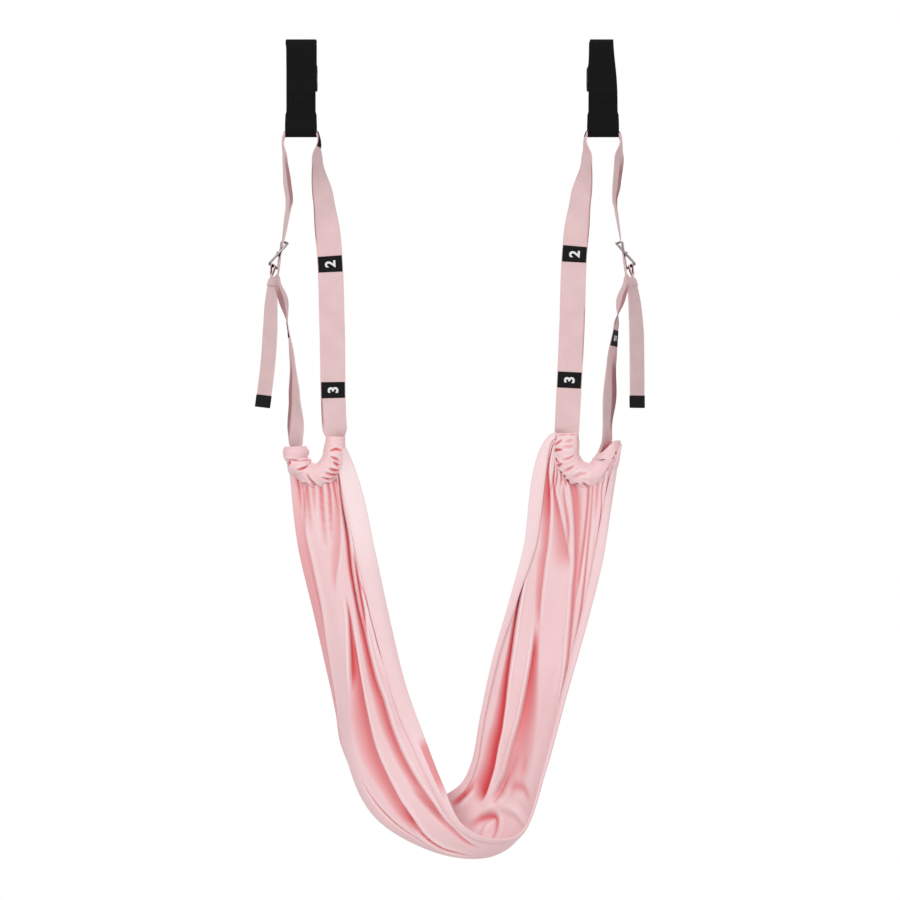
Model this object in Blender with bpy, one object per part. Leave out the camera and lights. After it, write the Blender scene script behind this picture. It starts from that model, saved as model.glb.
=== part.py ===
"""Door-hung yoga inversion strap.

Two black door straps go over the top of a door and are held behind it by foam
rolls. Each carries a loop of pink webbing with an adjuster and a tail, and the
two webbing loops run through the gathered ends of a cloth sling.

Frame: metres, +Z up, X along the door, -Y towards the user. The origin is on
the top edge of the door, midway between the straps.
"""

import math

import bmesh
import bpy
import numpy as np
from mathutils import Matrix, Vector

# Clearances
GAP = 0.0003              # between pieces that touch
RUNNING_GAP = 0.0004      # between pieces that turn or slide on each other

# Door and door straps
DOOR_THICKNESS = 0.040
STRAP_SPACING = 0.453     # between the centres of the two door straps
STRAP_WIDTH = 0.044
STRAP_LAYER = 0.0016      # one layer of the black webbing; the strap has two
STRAP_TAB = 0.004         # how far the top piece reaches down the door's front
LOOP_BORE = 0.024         # inside diameter of the sewn loop at the lower end
LOOP_NECK = 0.021         # loop centre up to the stitching that closes it
STRAP_DROP = 0.143        # door top down to the bottom of the sewn loop

# Foam stoppers behind the door
ROLL_DIAMETER = 0.036
CORE_DIAMETER = 0.016
ROLL_DROP = 0.048         # door top down to the roll's centre
ROLL_NECK = 0.024         # roll centre up to the stitching above it

# Pink webbing loops
WEBBING_WIDTH = 0.038
WEBBING_THICKNESS = 0.0014
BIGHT_WIDTH = 0.016       # webbing bunched where it goes through the strap loop
BIGHT_THICKNESS = 0.005
BIGHT_REACH = 0.0255      # strap centre out to each run as it turns down
TUCK_WIDTH = 0.026        # webbing bunched inside the sling's casing
TUCK_THICKNESS = 0.004
FLAT_START = 0.040        # below the bight, where the webbing is full width
STATION_STEP = 0.008      # spacing of the sections along the webbing
STATION_TURN = math.radians(15.0)  # most that it bends between two sections
WEBBING_COLUMNS = 3       # strips across the webbing's width

# Sling casings, one U round each webbing loop
CASING_INSET = 0.022      # centre of the U inwards from the door strap's
CASING_SPREAD = 0.060     # between the two ends of the U
CASING_DROP = 0.650       # door top down to the lowest point of the U's centre line
CASING_HEIGHT = 0.051     # lowest point up to the mouths of the casing
CASING_WALL = 0.005
CASING_SIDES = 16

# Adjusters and tails
ADJUSTER_OFFSET = 0.030            # outwards from the door strap's centre
ADJUSTER_DROP = 0.319
RUN_LEAN = math.radians(9.0)       # lean of the outer run through the adjuster
ADJUSTER_UP = 0.050                # travel of the adjuster up the webbing
ADJUSTER_DOWN = 0.008              # and down
BAR_RADIUS = 0.0018
BAR_PITCH = 0.020
RAIL_CLEARANCE = 0.001             # webbing edge to the adjuster's side rail
RUN_EASE = 0.006                   # past the adjuster's travel, where the run starts to bend
TAIL_LENGTH = 0.212
TAIL_NECK = 0.013                  # bar centre down to the end of the tail's eye
TAIL_FOLD = 0.030                  # bar centre down to the end of the doubled, sewn part
TAIL_SPLAY = math.radians(9.5)     # lean away from the outer run at the bar
TAIL_BEND = (0.050, 0.090)         # below the bar, where the tail bends to hang straight
TAIL_TWIST = math.radians(38.0)    # at the tail's end
TAIL_TURNING = ((0.032, 0.0), (0.046, 0.45), (0.066, 0.50), (0.080, 0.75), (0.100, 1.0))

# Labels
LABEL_LENGTH = 0.024
LABEL_WIDTH = 0.036
LABEL_THICKNESS = 0.0005
LABEL_PITCH = 0.189
LABEL_COUNT = 5
END_LABEL_LENGTH = 0.017

# Sling
SLING_DROP = 1.220        # door top down to the lowest point of the sling
LEG_FLARE = 0.004         # each leg past the outside of its casing, on both sides
SEAT_DEPTH = 0.110        # front hem to rear hem at the seat
SLING_THICKNESS = 0.012
HEM_WIDTH = 0.020
HEM_THICKNESS = 0.009
HEM_GAP = 0.0008          # between a hem and the panel it edges
SURFACE_COLUMNS = 24      # points across the surface that hems and panel share

# Differences between the two sides, as the webbing lies
SIDES = {
    "left": {"sign": -1.0, "first_label": 0.034, "tail_lean": math.radians(3.2)},
    "right": {"sign": 1.0, "first_label": 0.019, "tail_lean": math.radians(0.4)},
}

# Places that follow from the sizes above
STRAP_THICKNESS = 2 * STRAP_LAYER
HANG_Y = -DOOR_THICKNESS / 2 - STRAP_LAYER
STRAP_X = STRAP_SPACING / 2
SWING_Z = -STRAP_TAB - RUNNING_GAP - STRAP_LAYER
LOOP_RADIUS = LOOP_BORE / 2
LOOP_Z = -STRAP_DROP + STRAP_LAYER + LOOP_RADIUS
BIGHT_SAG = math.sqrt((LOOP_RADIUS - RUNNING_GAP) ** 2 - (BIGHT_WIDTH / 2) ** 2)
BIGHT_Z = LOOP_Z - BIGHT_SAG + BIGHT_THICKNESS / 2
CASING_X = STRAP_X - CASING_INSET
CASING_Z = -CASING_DROP
CASING_BORE = math.hypot(TUCK_WIDTH / 2, TUCK_THICKNESS / 2) + LABEL_THICKNESS + 3 * GAP
CASING_RADIUS = CASING_BORE + CASING_WALL
SLING_TOP_WIDTH = CASING_SPREAD + 2 * (CASING_RADIUS + LEG_FLARE)
SLING_HINGE_Z = CASING_Z - CASING_RADIUS - RUNNING_GAP - SLING_THICKNESS / 2
ROLL_Y = DOOR_THICKNESS / 2 + STRAP_LAYER + GAP + ROLL_DIAMETER / 2
ADJUSTER_X = STRAP_X + ADJUSTER_OFFSET
BAR_OFFSET = WEBBING_THICKNESS / 2 + RUNNING_GAP + BAR_RADIUS

ARC_STEPS = 24            # facets of an arc
END_STEPS = 4             # facets of the sling's rounded ends
SEAM_INSET = 0.0001       # keeps the faces of two joined solids from coinciding


def clear_scene():
    for item in list(bpy.data.objects):
        bpy.data.objects.remove(item, do_unlink=True)


def make_material(name, colour, roughness, metallic=0.0):
    material = bpy.data.materials.new(name)
    material.use_nodes = True
    shader = material.node_tree.nodes["Principled BSDF"]
    shader.inputs["Base Color"].default_value = (*colour, 1.0)
    shader.inputs["Roughness"].default_value = roughness
    shader.inputs["Metallic"].default_value = metallic
    material.diffuse_color = (*colour, 1.0)
    return material


def object_from(name, mesh_data, material, pivot=(0.0, 0.0, 0.0), smooth=False):
    """Make an object whose origin is at the pivot, from a bmesh in world space."""
    bmesh.ops.recalc_face_normals(mesh_data, faces=mesh_data.faces[:])
    bmesh.ops.translate(mesh_data, verts=mesh_data.verts[:], vec=-Vector(pivot))
    mesh = bpy.data.meshes.new(name)
    mesh_data.to_mesh(mesh)
    mesh_data.free()
    mesh.materials.append(material)
    if smooth:
        mesh.shade_smooth()
        mesh.set_sharp_from_angle(angle=math.radians(40.0))
    item = bpy.data.objects.new(name, mesh)
    item.location = pivot
    bpy.context.scene.collection.objects.link(item)
    return item


def extrude_outline(outline, x_start, x_end):
    """A solid of a closed outline of (y, z) points, extruded along X."""
    solid = bmesh.new()
    verts = [solid.verts.new((x_start, y, z)) for y, z in outline]
    face = solid.faces.new(verts)
    swept = bmesh.ops.extrude_face_region(solid, geom=[face])
    moved = [part for part in swept["geom"] if isinstance(part, bmesh.types.BMVert)]
    bmesh.ops.translate(solid, verts=moved, vec=(x_end - x_start, 0.0, 0.0))
    return solid


def cut_with(item, cutter):
    cutter.hide_render = True
    cutter.display_type = "WIRE"
    cut = item.modifiers.new("cut", "BOOLEAN")
    cut.operation = "DIFFERENCE"
    cut.object = cutter


def join_with(item, other):
    other.hide_render = True
    other.display_type = "WIRE"
    join = item.modifiers.new("join", "BOOLEAN")
    join.operation = "UNION"
    join.object = other


def arc(centre, radius, start, end, steps=ARC_STEPS):
    """Points of an arc in a plane, angles in radians."""
    return [
        (centre[0] + radius * math.cos(a), centre[1] + radius * math.sin(a))
        for a in np.linspace(start, end, steps + 1)
    ]


def tangent_angle(centre, radius, point, side):
    """Angle on a circle where the line from an outside point touches it."""
    away = (point[0] - centre[0], point[1] - centre[1])
    distance = math.hypot(*away)
    return math.atan2(away[1], away[0]) + side * math.acos(min(radius / distance, 1.0))


def eye_outline(centre, radius, left, right, steps=2 * ARC_STEPS):
    """An eye round a circle: tangents from two points above it and the arc below."""
    start = tangent_angle(centre, radius, left, 1.0)
    end = tangent_angle(centre, radius, right, -1.0)
    if end < start:
        end += 2 * math.pi
    return arc(centre, radius, start, end, steps)


def eye_hole(centre, radius, apex):
    """The opening inside an eye, pointed where the layers meet."""
    return [apex] + eye_outline(centre, radius, apex, apex)


def strap_front(side, material):
    """Doubled webbing down the door's front, with the sewn loop at its end."""
    sign = SIDES[side]["sign"]
    x_centre = sign * STRAP_X
    edges = (x_centre - STRAP_WIDTH / 2, x_centre + STRAP_WIDTH / 2)
    centre = (HANG_Y, LOOP_Z)
    neck_z = LOOP_Z + LOOP_NECK
    left = (HANG_Y - STRAP_LAYER, neck_z)
    right = (HANG_Y + STRAP_LAYER, neck_z)
    top = arc((HANG_Y, SWING_Z), STRAP_LAYER, 0.0, math.pi, 8)
    outline = top + [left] + eye_outline(centre, LOOP_RADIUS + STRAP_LAYER, left, right) + [right]
    pivot = (x_centre, HANG_Y, SWING_Z)
    item = object_from(
        side + "_door_strap_front", extrude_outline(outline, *edges), material, pivot, smooth=True
    )
    hole = eye_hole(centre, LOOP_RADIUS, (HANG_Y, neck_z - STRAP_LAYER))
    reach = STRAP_LAYER
    cutter = object_from(
        side + "_loop_cutter", extrude_outline(hole, edges[0] - reach, edges[1] + reach), material
    )
    cut_with(item, cutter)


def strap_top(side, material):
    """Doubled webbing over the door, with the eye that holds the foam roll."""
    sign = SIDES[side]["sign"]
    x_centre = sign * STRAP_X
    edges = (x_centre - STRAP_WIDTH / 2, x_centre + STRAP_WIDTH / 2)
    half = DOOR_THICKNESS / 2
    thick = STRAP_THICKNESS
    centre = (ROLL_Y, -ROLL_DROP)
    neck_z = -ROLL_DROP + ROLL_NECK
    bore = ROLL_DIAMETER / 2 + GAP
    outer = bore + STRAP_LAYER
    left = (half, neck_z)
    right = (half + thick, neck_z)
    eye = eye_outline(centre, outer, left, right)
    outline = [(-half - thick, -STRAP_TAB)]
    outline += arc((-half, 0.0), thick, math.pi, math.pi / 2, 6)
    outline += arc((half, 0.0), thick, math.pi / 2, 0.0, 6)
    outline += [right] + eye[::-1] + [left, (half, 0.0), (-half, 0.0), (-half, -STRAP_TAB)]
    item = object_from(
        side + "_door_strap_top", extrude_outline(outline, *edges), material, smooth=True
    )
    hole = eye_hole(centre, bore, (half + STRAP_LAYER, neck_z - STRAP_LAYER))
    cutter = object_from(
        side + "_roll_cutter",
        extrude_outline(hole, edges[0] - STRAP_LAYER, edges[1] + STRAP_LAYER),
        material,
    )
    cut_with(item, cutter)


def stopper(side, foam, core):
    """Foam roll behind the door and the tube inside it."""
    x_centre = SIDES[side]["sign"] * STRAP_X
    edges = (x_centre - STRAP_WIDTH / 2, x_centre + STRAP_WIDTH / 2)
    centre = (ROLL_Y, -ROLL_DROP)
    full = 2 * math.pi * (1.0 - 1.0 / ARC_STEPS)
    roll = arc(centre, ROLL_DIAMETER / 2, 0.0, full, ARC_STEPS - 1)
    item = object_from(
        side + "_stopper_foam", extrude_outline(roll, *edges), foam, smooth=True
    )
    bore = arc(centre, CORE_DIAMETER / 2 + GAP, 0.0, full, ARC_STEPS - 1)
    cutter = object_from(
        side + "_core_cutter",
        extrude_outline(bore, edges[0] - STRAP_LAYER, edges[1] + STRAP_LAYER),
        foam,
    )
    cut_with(item, cutter)
    rod = arc(centre, CORE_DIAMETER / 2, 0.0, full, ARC_STEPS - 1)
    object_from(side + "_stopper_core", extrude_outline(rod, *edges), core, smooth=True)


class Route:
    """A smooth closed route in the plane of the webbing loop.

    Each row is (x, z, twist, width, thickness), x measured outwards from the
    object's middle. Positions follow a smooth curve through the rows, and the
    other values run from row to row along it.
    """

    def __init__(self, rows, steps=12):
        rows = np.array(rows, dtype=float)
        count = len(rows)
        spots = rows[:, :2]
        chord = np.linalg.norm(np.roll(spots, -1, axis=0) - spots, axis=1)
        slope = (np.roll(spots, -1, axis=0) - spots) / chord[:, None]
        before = np.roll(chord, 1)[:, None]
        after = chord[:, None]
        tangent = (np.roll(slope, 1, axis=0) * after + slope * before) / (before + after)
        points = []
        values = []
        for i in range(count):
            j = (i + 1) % count
            for t in np.linspace(0.0, 1.0, steps, endpoint=False):
                h00 = 2 * t ** 3 - 3 * t ** 2 + 1
                h10 = t ** 3 - 2 * t ** 2 + t
                h01 = 3 * t ** 2 - 2 * t ** 3
                h11 = t ** 3 - t ** 2
                points.append(
                    h00 * spots[i] + h10 * chord[i] * tangent[i]
                    + h01 * spots[j] + h11 * chord[i] * tangent[j]
                )
                values.append((1 - h01) * rows[i, 2:] + h01 * rows[j, 2:])
        points.append(points[0])
        values.append(values[0])
        self.points = np.array(points)
        self.values = np.array(values)
        steps_along = np.linalg.norm(np.diff(self.points, axis=0), axis=1)
        self.along = np.concatenate([[0.0], np.cumsum(steps_along)])
        self.length = self.along[-1]
        self.row_lengths = self.along[::steps]

    def stations(self, spacing, turn):
        """Lengths of every row, with others between, closer together where it bends."""
        spots = []
        for start, end in zip(self.row_lengths, self.row_lengths[1:]):
            before = self.at(start)[1]
            after = self.at(end)[1]
            bend = math.acos(min(1.0, float(before @ after)))
            count = max(math.ceil((end - start) / spacing), math.ceil(bend / turn))
            spots += list(np.linspace(start, end, count, endpoint=False))
        return spots

    def at(self, s):
        """Place, direction and (twist, width, thickness) at a length along the route."""
        s = s % self.length
        near = STATION_STEP / 8
        direction = self.place(s + near) - self.place(s - near)
        direction /= np.linalg.norm(direction)
        values = [np.interp(s, self.along, self.values[:, k]) for k in range(3)]
        return self.place(s), direction, values

    def place(self, s):
        return np.array([np.interp(s % self.length, self.along, self.points[:, k]) for k in (0, 1)])

    def length_at(self, spot):
        """Length along the route at the point nearest to a given (x, z)."""
        nearest = np.argmin(np.linalg.norm(self.points - np.array(spot), axis=1))
        return float(self.along[nearest])


def section_axes(direction, twist):
    """Width and face directions of the webbing, as (x, y, z) with x outwards."""
    outward = np.array([direction[1], 0.0, -direction[0]])
    depth = np.array([0.0, 1.0, 0.0])
    wide = math.cos(twist) * depth + math.sin(twist) * outward
    face = math.cos(twist) * outward - math.sin(twist) * depth
    return wide, face


def loft(sections, closed):
    """A solid through a row of sections with the same number of points."""
    solid = bmesh.new()
    rings = [[solid.verts.new(p) for p in ring] for ring in sections]
    count = len(rings)
    sides = len(rings[0])
    for i in range(count if closed else count - 1):
        ring = rings[i]
        after = rings[(i + 1) % count]
        for k in range(sides):
            n = (k + 1) % sides
            solid.faces.new((ring[k], ring[n], after[n], after[k]))
    if not closed:
        solid.faces.new(rings[0])
        solid.faces.new(rings[-1])
    return solid


def webbing_section(route, s, sign, offset=0.0, width=None, thickness=None):
    """The outline of the webbing, or of a patch on it, at a length along it."""
    place, direction, (twist, own_width, own_thickness) = route.at(s)
    wide, face = section_axes(direction, twist)
    width = own_width if width is None else min(width, own_width)
    lift = 0.0 if thickness is None else own_thickness / 2 + offset + thickness / 2
    thickness = own_thickness if thickness is None else thickness
    middle = np.array([place[0], HANG_Y, place[1]]) + lift * face
    shares = np.linspace(-1.0, 1.0, WEBBING_COLUMNS + 1)
    outline = [(a, -1) for a in shares] + [(a, 1) for a in shares[::-1]]
    corners = []
    for a, b in outline:
        corner = middle + a * width / 2 * wide + b * thickness / 2 * face
        corners.append((sign * corner[0], corner[1], corner[2]))
    return corners


def run_axes():
    """Unit vectors (x, z) up along the outer run at the adjuster and out from it."""
    up = np.array([-math.sin(RUN_LEAN), math.cos(RUN_LEAN)])
    out = np.array([math.cos(RUN_LEAN), math.sin(RUN_LEAN)])
    return up, out


def webbing_route():
    """Rows of the closed webbing loop, from the bight down the inner run and back."""
    flat = (WEBBING_WIDTH, WEBBING_THICKNESS)
    bunched = (BIGHT_WIDTH, BIGHT_THICKNESS)
    tuck = (TUCK_WIDTH, TUCK_THICKNESS)
    edge_on = 0.0
    face_on = math.pi / 2
    inner = STRAP_X - BIGHT_REACH
    outer = STRAP_X + BIGHT_REACH
    mouth_in = CASING_X - CASING_SPREAD / 2
    mouth_out = CASING_X + CASING_SPREAD / 2
    mouth_z = CASING_Z + CASING_HEIGHT
    flat_z = BIGHT_Z - FLAT_START
    up = run_axes()[0]
    middle = np.array([ADJUSTER_X, -ADJUSTER_DROP])
    frame_reach = BAR_PITCH + BAR_RADIUS
    straight_top = middle + (frame_reach + ADJUSTER_UP) * up
    straight_low = middle - (frame_reach + ADJUSTER_DOWN) * up
    above = straight_top + RUN_EASE * up
    below = straight_low - RUN_EASE * up
    shoulder = STRAP_WIDTH / 2 + RUNNING_GAP
    tucked = STRAP_WIDTH / 2 - RUNNING_GAP
    opening = (1.25 * BIGHT_WIDTH, 0.8 * BIGHT_THICKNESS)
    turn_z = BIGHT_Z - 0.15 * FLAT_START

    def inner_run(across, down):
        return inner + across * (mouth_in - inner), flat_z + down * (mouth_z - flat_z)

    def lower_run(across, rise):
        return mouth_out + across * (below[0] - mouth_out), mouth_z + rise * (below[1] - mouth_z)

    def upper_run(across, rise):
        return above[0] + across * (outer - above[0]), above[1] + rise * (flat_z - above[1])

    rows = [
        (STRAP_X, BIGHT_Z, edge_on, *bunched),
        (STRAP_X - tucked, BIGHT_Z, edge_on, *bunched),
        (STRAP_X - shoulder, BIGHT_Z, edge_on, *bunched),
        (inner, turn_z, edge_on, *opening),
        (*inner_run(-0.04, 0.0), 0.25 * face_on, *flat),
        (*inner_run(0.30, 0.14), 0.6 * face_on, *flat),
        (*inner_run(0.62, 0.31), face_on, *flat),
        (*inner_run(0.80, 0.60), face_on, *flat),
        (*inner_run(0.94, 0.953), face_on, *flat),
        (mouth_in, mouth_z, 0.85 * face_on, *tuck),
        (mouth_in + 0.05 * CASING_SPREAD, CASING_Z + 0.42 * CASING_HEIGHT, edge_on, *tuck),
        (CASING_X - 0.23 * CASING_SPREAD, CASING_Z + 0.09 * CASING_HEIGHT, edge_on, *tuck),
        (CASING_X, CASING_Z, edge_on, *tuck),
        (CASING_X + 0.23 * CASING_SPREAD, CASING_Z + 0.09 * CASING_HEIGHT, edge_on, *tuck),
        (mouth_out - 0.05 * CASING_SPREAD, CASING_Z + 0.42 * CASING_HEIGHT, edge_on, *tuck),
        (mouth_out, mouth_z, 0.30 * face_on, *tuck),
        (*lower_run(0.0, 0.09), 0.42 * face_on, *flat),
        (*lower_run(0.07, 0.27), 0.36 * face_on, *flat),
        (*lower_run(0.18, 0.49), 0.17 * face_on, *flat),
        (*lower_run(0.43, 0.71), 0.15 * face_on, *flat),
        (*below, edge_on, *flat),
        (*straight_low, edge_on, *flat),
        (*straight_top, edge_on, *flat),
        (*above, edge_on, *flat),
        (*upper_run(0.36, 0.45), edge_on, *flat),
        (*upper_run(0.83, 1.0), edge_on, *flat),
        (outer, turn_z, edge_on, *opening),
        (STRAP_X + shoulder, BIGHT_Z, edge_on, *bunched),
        (STRAP_X + tucked, BIGHT_Z, edge_on, *bunched),
    ]
    return Route(rows)


def webbing_loop(side, route, material):
    sign = SIDES[side]["sign"]
    stations = route.stations(STATION_STEP, STATION_TURN)
    sections = [webbing_section(route, s, sign) for s in stations]
    pivot = (sign * STRAP_X, HANG_Y, LOOP_Z)
    loop = loft(sections, closed=True)
    object_from(side + "_webbing_loop", loop, material, pivot, smooth=True)


def labels(side, route, material):
    """Size labels sewn on the outer face of the webbing, at an even pitch."""
    sign = SIDES[side]["sign"]
    stations = route.stations(STATION_STEP, STATION_TURN)
    for number in range(LABEL_COUNT):
        middle = SIDES[side]["first_label"] + number * LABEL_PITCH
        start = middle - LABEL_LENGTH / 2
        end = middle + LABEL_LENGTH / 2
        spots = [start] + [s for s in stations if start + GAP < s < end - GAP] + [end]
        sections = [
            webbing_section(route, s, sign, GAP, LABEL_WIDTH, LABEL_THICKNESS) for s in spots
        ]
        patch = loft(sections, closed=False)
        object_from(f"{side}_size_label_{number + 1}", patch, material, smooth=True)


def casing(side, route, material):
    """The gathered end of the sling, a U-shaped tube round the webbing."""
    sign = SIDES[side]["sign"]
    mouth_z = CASING_Z + CASING_HEIGHT
    start = route.length_at((CASING_X - CASING_SPREAD / 2, mouth_z))
    end = route.length_at((CASING_X + CASING_SPREAD / 2, mouth_z))
    spots = route.stations(STATION_STEP, STATION_TURN)
    stations = [start] + [s for s in spots if start + GAP < s < end - GAP] + [end]
    solid = bmesh.new()
    walls = []
    for radius in (CASING_RADIUS, CASING_BORE):
        rings = []
        for s in stations:
            place, direction, _ = route.at(s)
            wide, face = section_axes(direction, 0.0)
            ring = []
            for k in range(CASING_SIDES):
                angle = 2 * math.pi * k / CASING_SIDES
                spot = np.array([place[0], HANG_Y, place[1]])
                spot = spot + radius * (math.cos(angle) * face + math.sin(angle) * wide)
                ring.append(solid.verts.new((sign * spot[0], spot[1], spot[2])))
            rings.append(ring)
        walls.append(rings)
    for rings in walls:
        for ring, after in zip(rings, rings[1:]):
            for k in range(CASING_SIDES):
                n = (k + 1) % CASING_SIDES
                solid.faces.new((ring[k], ring[n], after[n], after[k]))
    for end_ring in (0, -1):
        outside = walls[0][end_ring]
        inside = walls[1][end_ring]
        for k in range(CASING_SIDES):
            n = (k + 1) % CASING_SIDES
            solid.faces.new((outside[k], outside[n], inside[n], inside[k]))
    object_from(side + "_casing", solid, material, smooth=True)


def adjuster_places():
    """Centres (x, z) of the adjuster's top, middle and bottom bars."""
    up, out = run_axes()
    middle = np.array([ADJUSTER_X, -ADJUSTER_DROP]) + BAR_OFFSET * out
    rise = math.sqrt(BAR_PITCH ** 2 - (2 * BAR_OFFSET) ** 2)
    step = rise * up - 2 * BAR_OFFSET * out
    return middle + step, middle, middle - step


def adjuster(side, material):
    """Three-bar steel slide: a bent wire frame with a bar across its middle."""
    sign = SIDES[side]["sign"]
    top, middle, bottom = adjuster_places()
    rail = WEBBING_WIDTH / 2 + RAIL_CLEARANCE + BAR_RADIUS
    corner = 2 * BAR_RADIUS
    frame_up = (top - middle) / BAR_PITCH
    outline = []
    for a, b, start in ((1, 1, 0.0), (-1, 1, 0.5), (-1, -1, 1.0), (1, -1, 1.5)):
        centre = (a * (rail - corner), b * (BAR_PITCH - corner))
        outline += arc(centre, corner, start * math.pi, (start + 0.5) * math.pi, 5)
    curve = bpy.data.curves.new(side + "_adjuster_wire", "CURVE")
    curve.dimensions = "3D"
    curve.bevel_depth = BAR_RADIUS
    curve.bevel_resolution = 2
    wire = curve.splines.new("POLY")
    wire.points.add(len(outline) - 1)
    pivot = Vector((sign * middle[0], HANG_Y, middle[1]))
    for point, (across, along) in zip(wire.points, outline):
        lift = along * frame_up
        point.co = (pivot.x + sign * lift[0], pivot.y + across, pivot.z + lift[1], 1.0)
    wire.use_cyclic_u = True
    maker = bpy.data.objects.new(side + "_adjuster_wire", curve)
    bpy.context.scene.collection.objects.link(maker)
    frame = bmesh.new()
    frame.from_mesh(bpy.data.meshes.new_from_object(maker))
    bpy.data.objects.remove(maker, do_unlink=True)
    bmesh.ops.remove_doubles(frame, verts=frame.verts[:], dist=SEAM_INSET / 10)
    item = object_from(side + "_adjuster", frame, material, pivot, smooth=True)
    bar = bmesh.new()
    bmesh.ops.create_cone(
        bar, cap_ends=True, segments=12, radius1=BAR_RADIUS, radius2=BAR_RADIUS, depth=2 * rail
    )
    turn = Matrix.Rotation(math.pi / 2, 4, "X")
    bmesh.ops.transform(bar, matrix=Matrix.Translation(pivot) @ turn, verts=bar.verts[:])
    join_with(item, object_from(side + "_bar_joined", bar, material))


class TailLine:
    """The tail's middle line, down from the adjuster's bottom bar."""

    def __init__(self, lean):
        self.down = np.array([math.sin(TAIL_SPLAY), -math.cos(TAIL_SPLAY)])
        self.out = np.array([math.cos(TAIL_SPLAY), math.sin(TAIL_SPLAY)])
        self.layer_offset = (WEBBING_THICKNESS + GAP) / 2
        self.distances = np.linspace(0.0, TAIL_LENGTH, 2 * math.ceil(TAIL_LENGTH / STATION_STEP) + 1)
        self.leans = np.interp(self.distances, TAIL_BEND, (TAIL_SPLAY, lean))
        middle_leans = (self.leans[1:] + self.leans[:-1]) / 2
        steps = np.diff(self.distances)[:, None] * np.stack(
            [np.sin(middle_leans), -np.cos(middle_leans)], axis=1
        )
        start = adjuster_places()[2] + self.layer_offset * self.out
        self.places = np.concatenate([[start], start + np.cumsum(steps, axis=0)])

    def at(self, distance):
        """Place (x, z), downward direction and twist at a distance below the bar."""
        place = [np.interp(distance, self.distances, self.places[:, k]) for k in (0, 1)]
        lean = np.interp(distance, self.distances, self.leans)
        twist = TAIL_TWIST * np.interp(distance, *zip(*TAIL_TURNING))
        return np.array(place), np.array([math.sin(lean), -math.cos(lean)]), twist


def strip_corners(place, direction, twist, sign):
    """The four corners of the webbing's section at a place along the tail."""
    wide, face = section_axes(direction, -twist)
    middle = np.array([place[0], HANG_Y, place[1]])
    corners = []
    for a, b in ((-1, -1), (1, -1), (1, 1), (-1, 1)):
        corner = middle + a * WEBBING_WIDTH / 2 * wide + b * WEBBING_THICKNESS / 2 * face
        corners.append((sign * corner[0], corner[1], corner[2]))
    return corners


def tail(side, material, label_material):
    """Webbing end folded and sewn in an eye round the adjuster's bottom bar, and its label."""
    sign = SIDES[side]["sign"]
    line = TailLine(SIDES[side]["tail_lean"])
    bar = adjuster_places()[2]
    offset = line.layer_offset
    radius = BAR_RADIUS + RUNNING_GAP + WEBBING_THICKNESS / 2
    necks = ((-offset, TAIL_NECK), (offset, TAIL_NECK))
    folded = [(-offset, TAIL_FOLD), necks[0]] + eye_outline((0.0, 0.0), radius, *necks, ARC_STEPS)
    sections = []
    for i, (a, b) in enumerate(folded):
        before = folded[max(i - 1, 0)]
        after = folded[i + 1] if i + 1 < len(folded) else necks[1]
        ahead = np.array(after) - np.array(before)
        direction = ahead[0] * line.out + ahead[1] * line.down
        direction /= np.linalg.norm(direction)
        sections.append(strip_corners(bar + a * line.out + b * line.down, direction, 0.0, sign))
    below_fold = math.ceil((TAIL_LENGTH - TAIL_FOLD) / STATION_STEP) + 1
    for distance in [TAIL_NECK, *np.linspace(TAIL_FOLD, TAIL_LENGTH, below_fold)]:
        sections.append(strip_corners(*line.at(distance), sign))
    pivot = (sign * bar[0], HANG_Y, bar[1])
    object_from(side + "_tail", loft(sections, closed=False), material, pivot, smooth=True)
    end_label(side, line, label_material)


def end_label(side, line, material):
    """A label folded round the end of the tail, open on its upper side."""
    sign = SIDES[side]["sign"]
    inner = WEBBING_THICKNESS / 2 + GAP
    outer = inner + LABEL_THICKNESS
    low_in = GAP
    low_out = low_in + LABEL_THICKNESS
    profile = [
        (outer, -END_LABEL_LENGTH), (outer, low_out), (-outer, low_out), (-outer, -END_LABEL_LENGTH),
        (-inner, -END_LABEL_LENGTH), (-inner, low_in), (inner, low_in), (inner, -END_LABEL_LENGTH),
    ]
    end, down, twist = line.at(TAIL_LENGTH)
    wide, face = section_axes(down, -twist)
    rings = []
    for edge in (-1, 1):
        ring = []
        for lift, distance in profile:
            place = end + distance * down
            spot = np.array([place[0], HANG_Y, place[1]])
            spot = spot + lift * face + edge * WEBBING_WIDTH / 2 * wide
            ring.append((sign * spot[0], spot[1], spot[2]))
        rings.append(ring)
    object_from(side + "_tail_label", loft(rings, closed=False), material)


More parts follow.
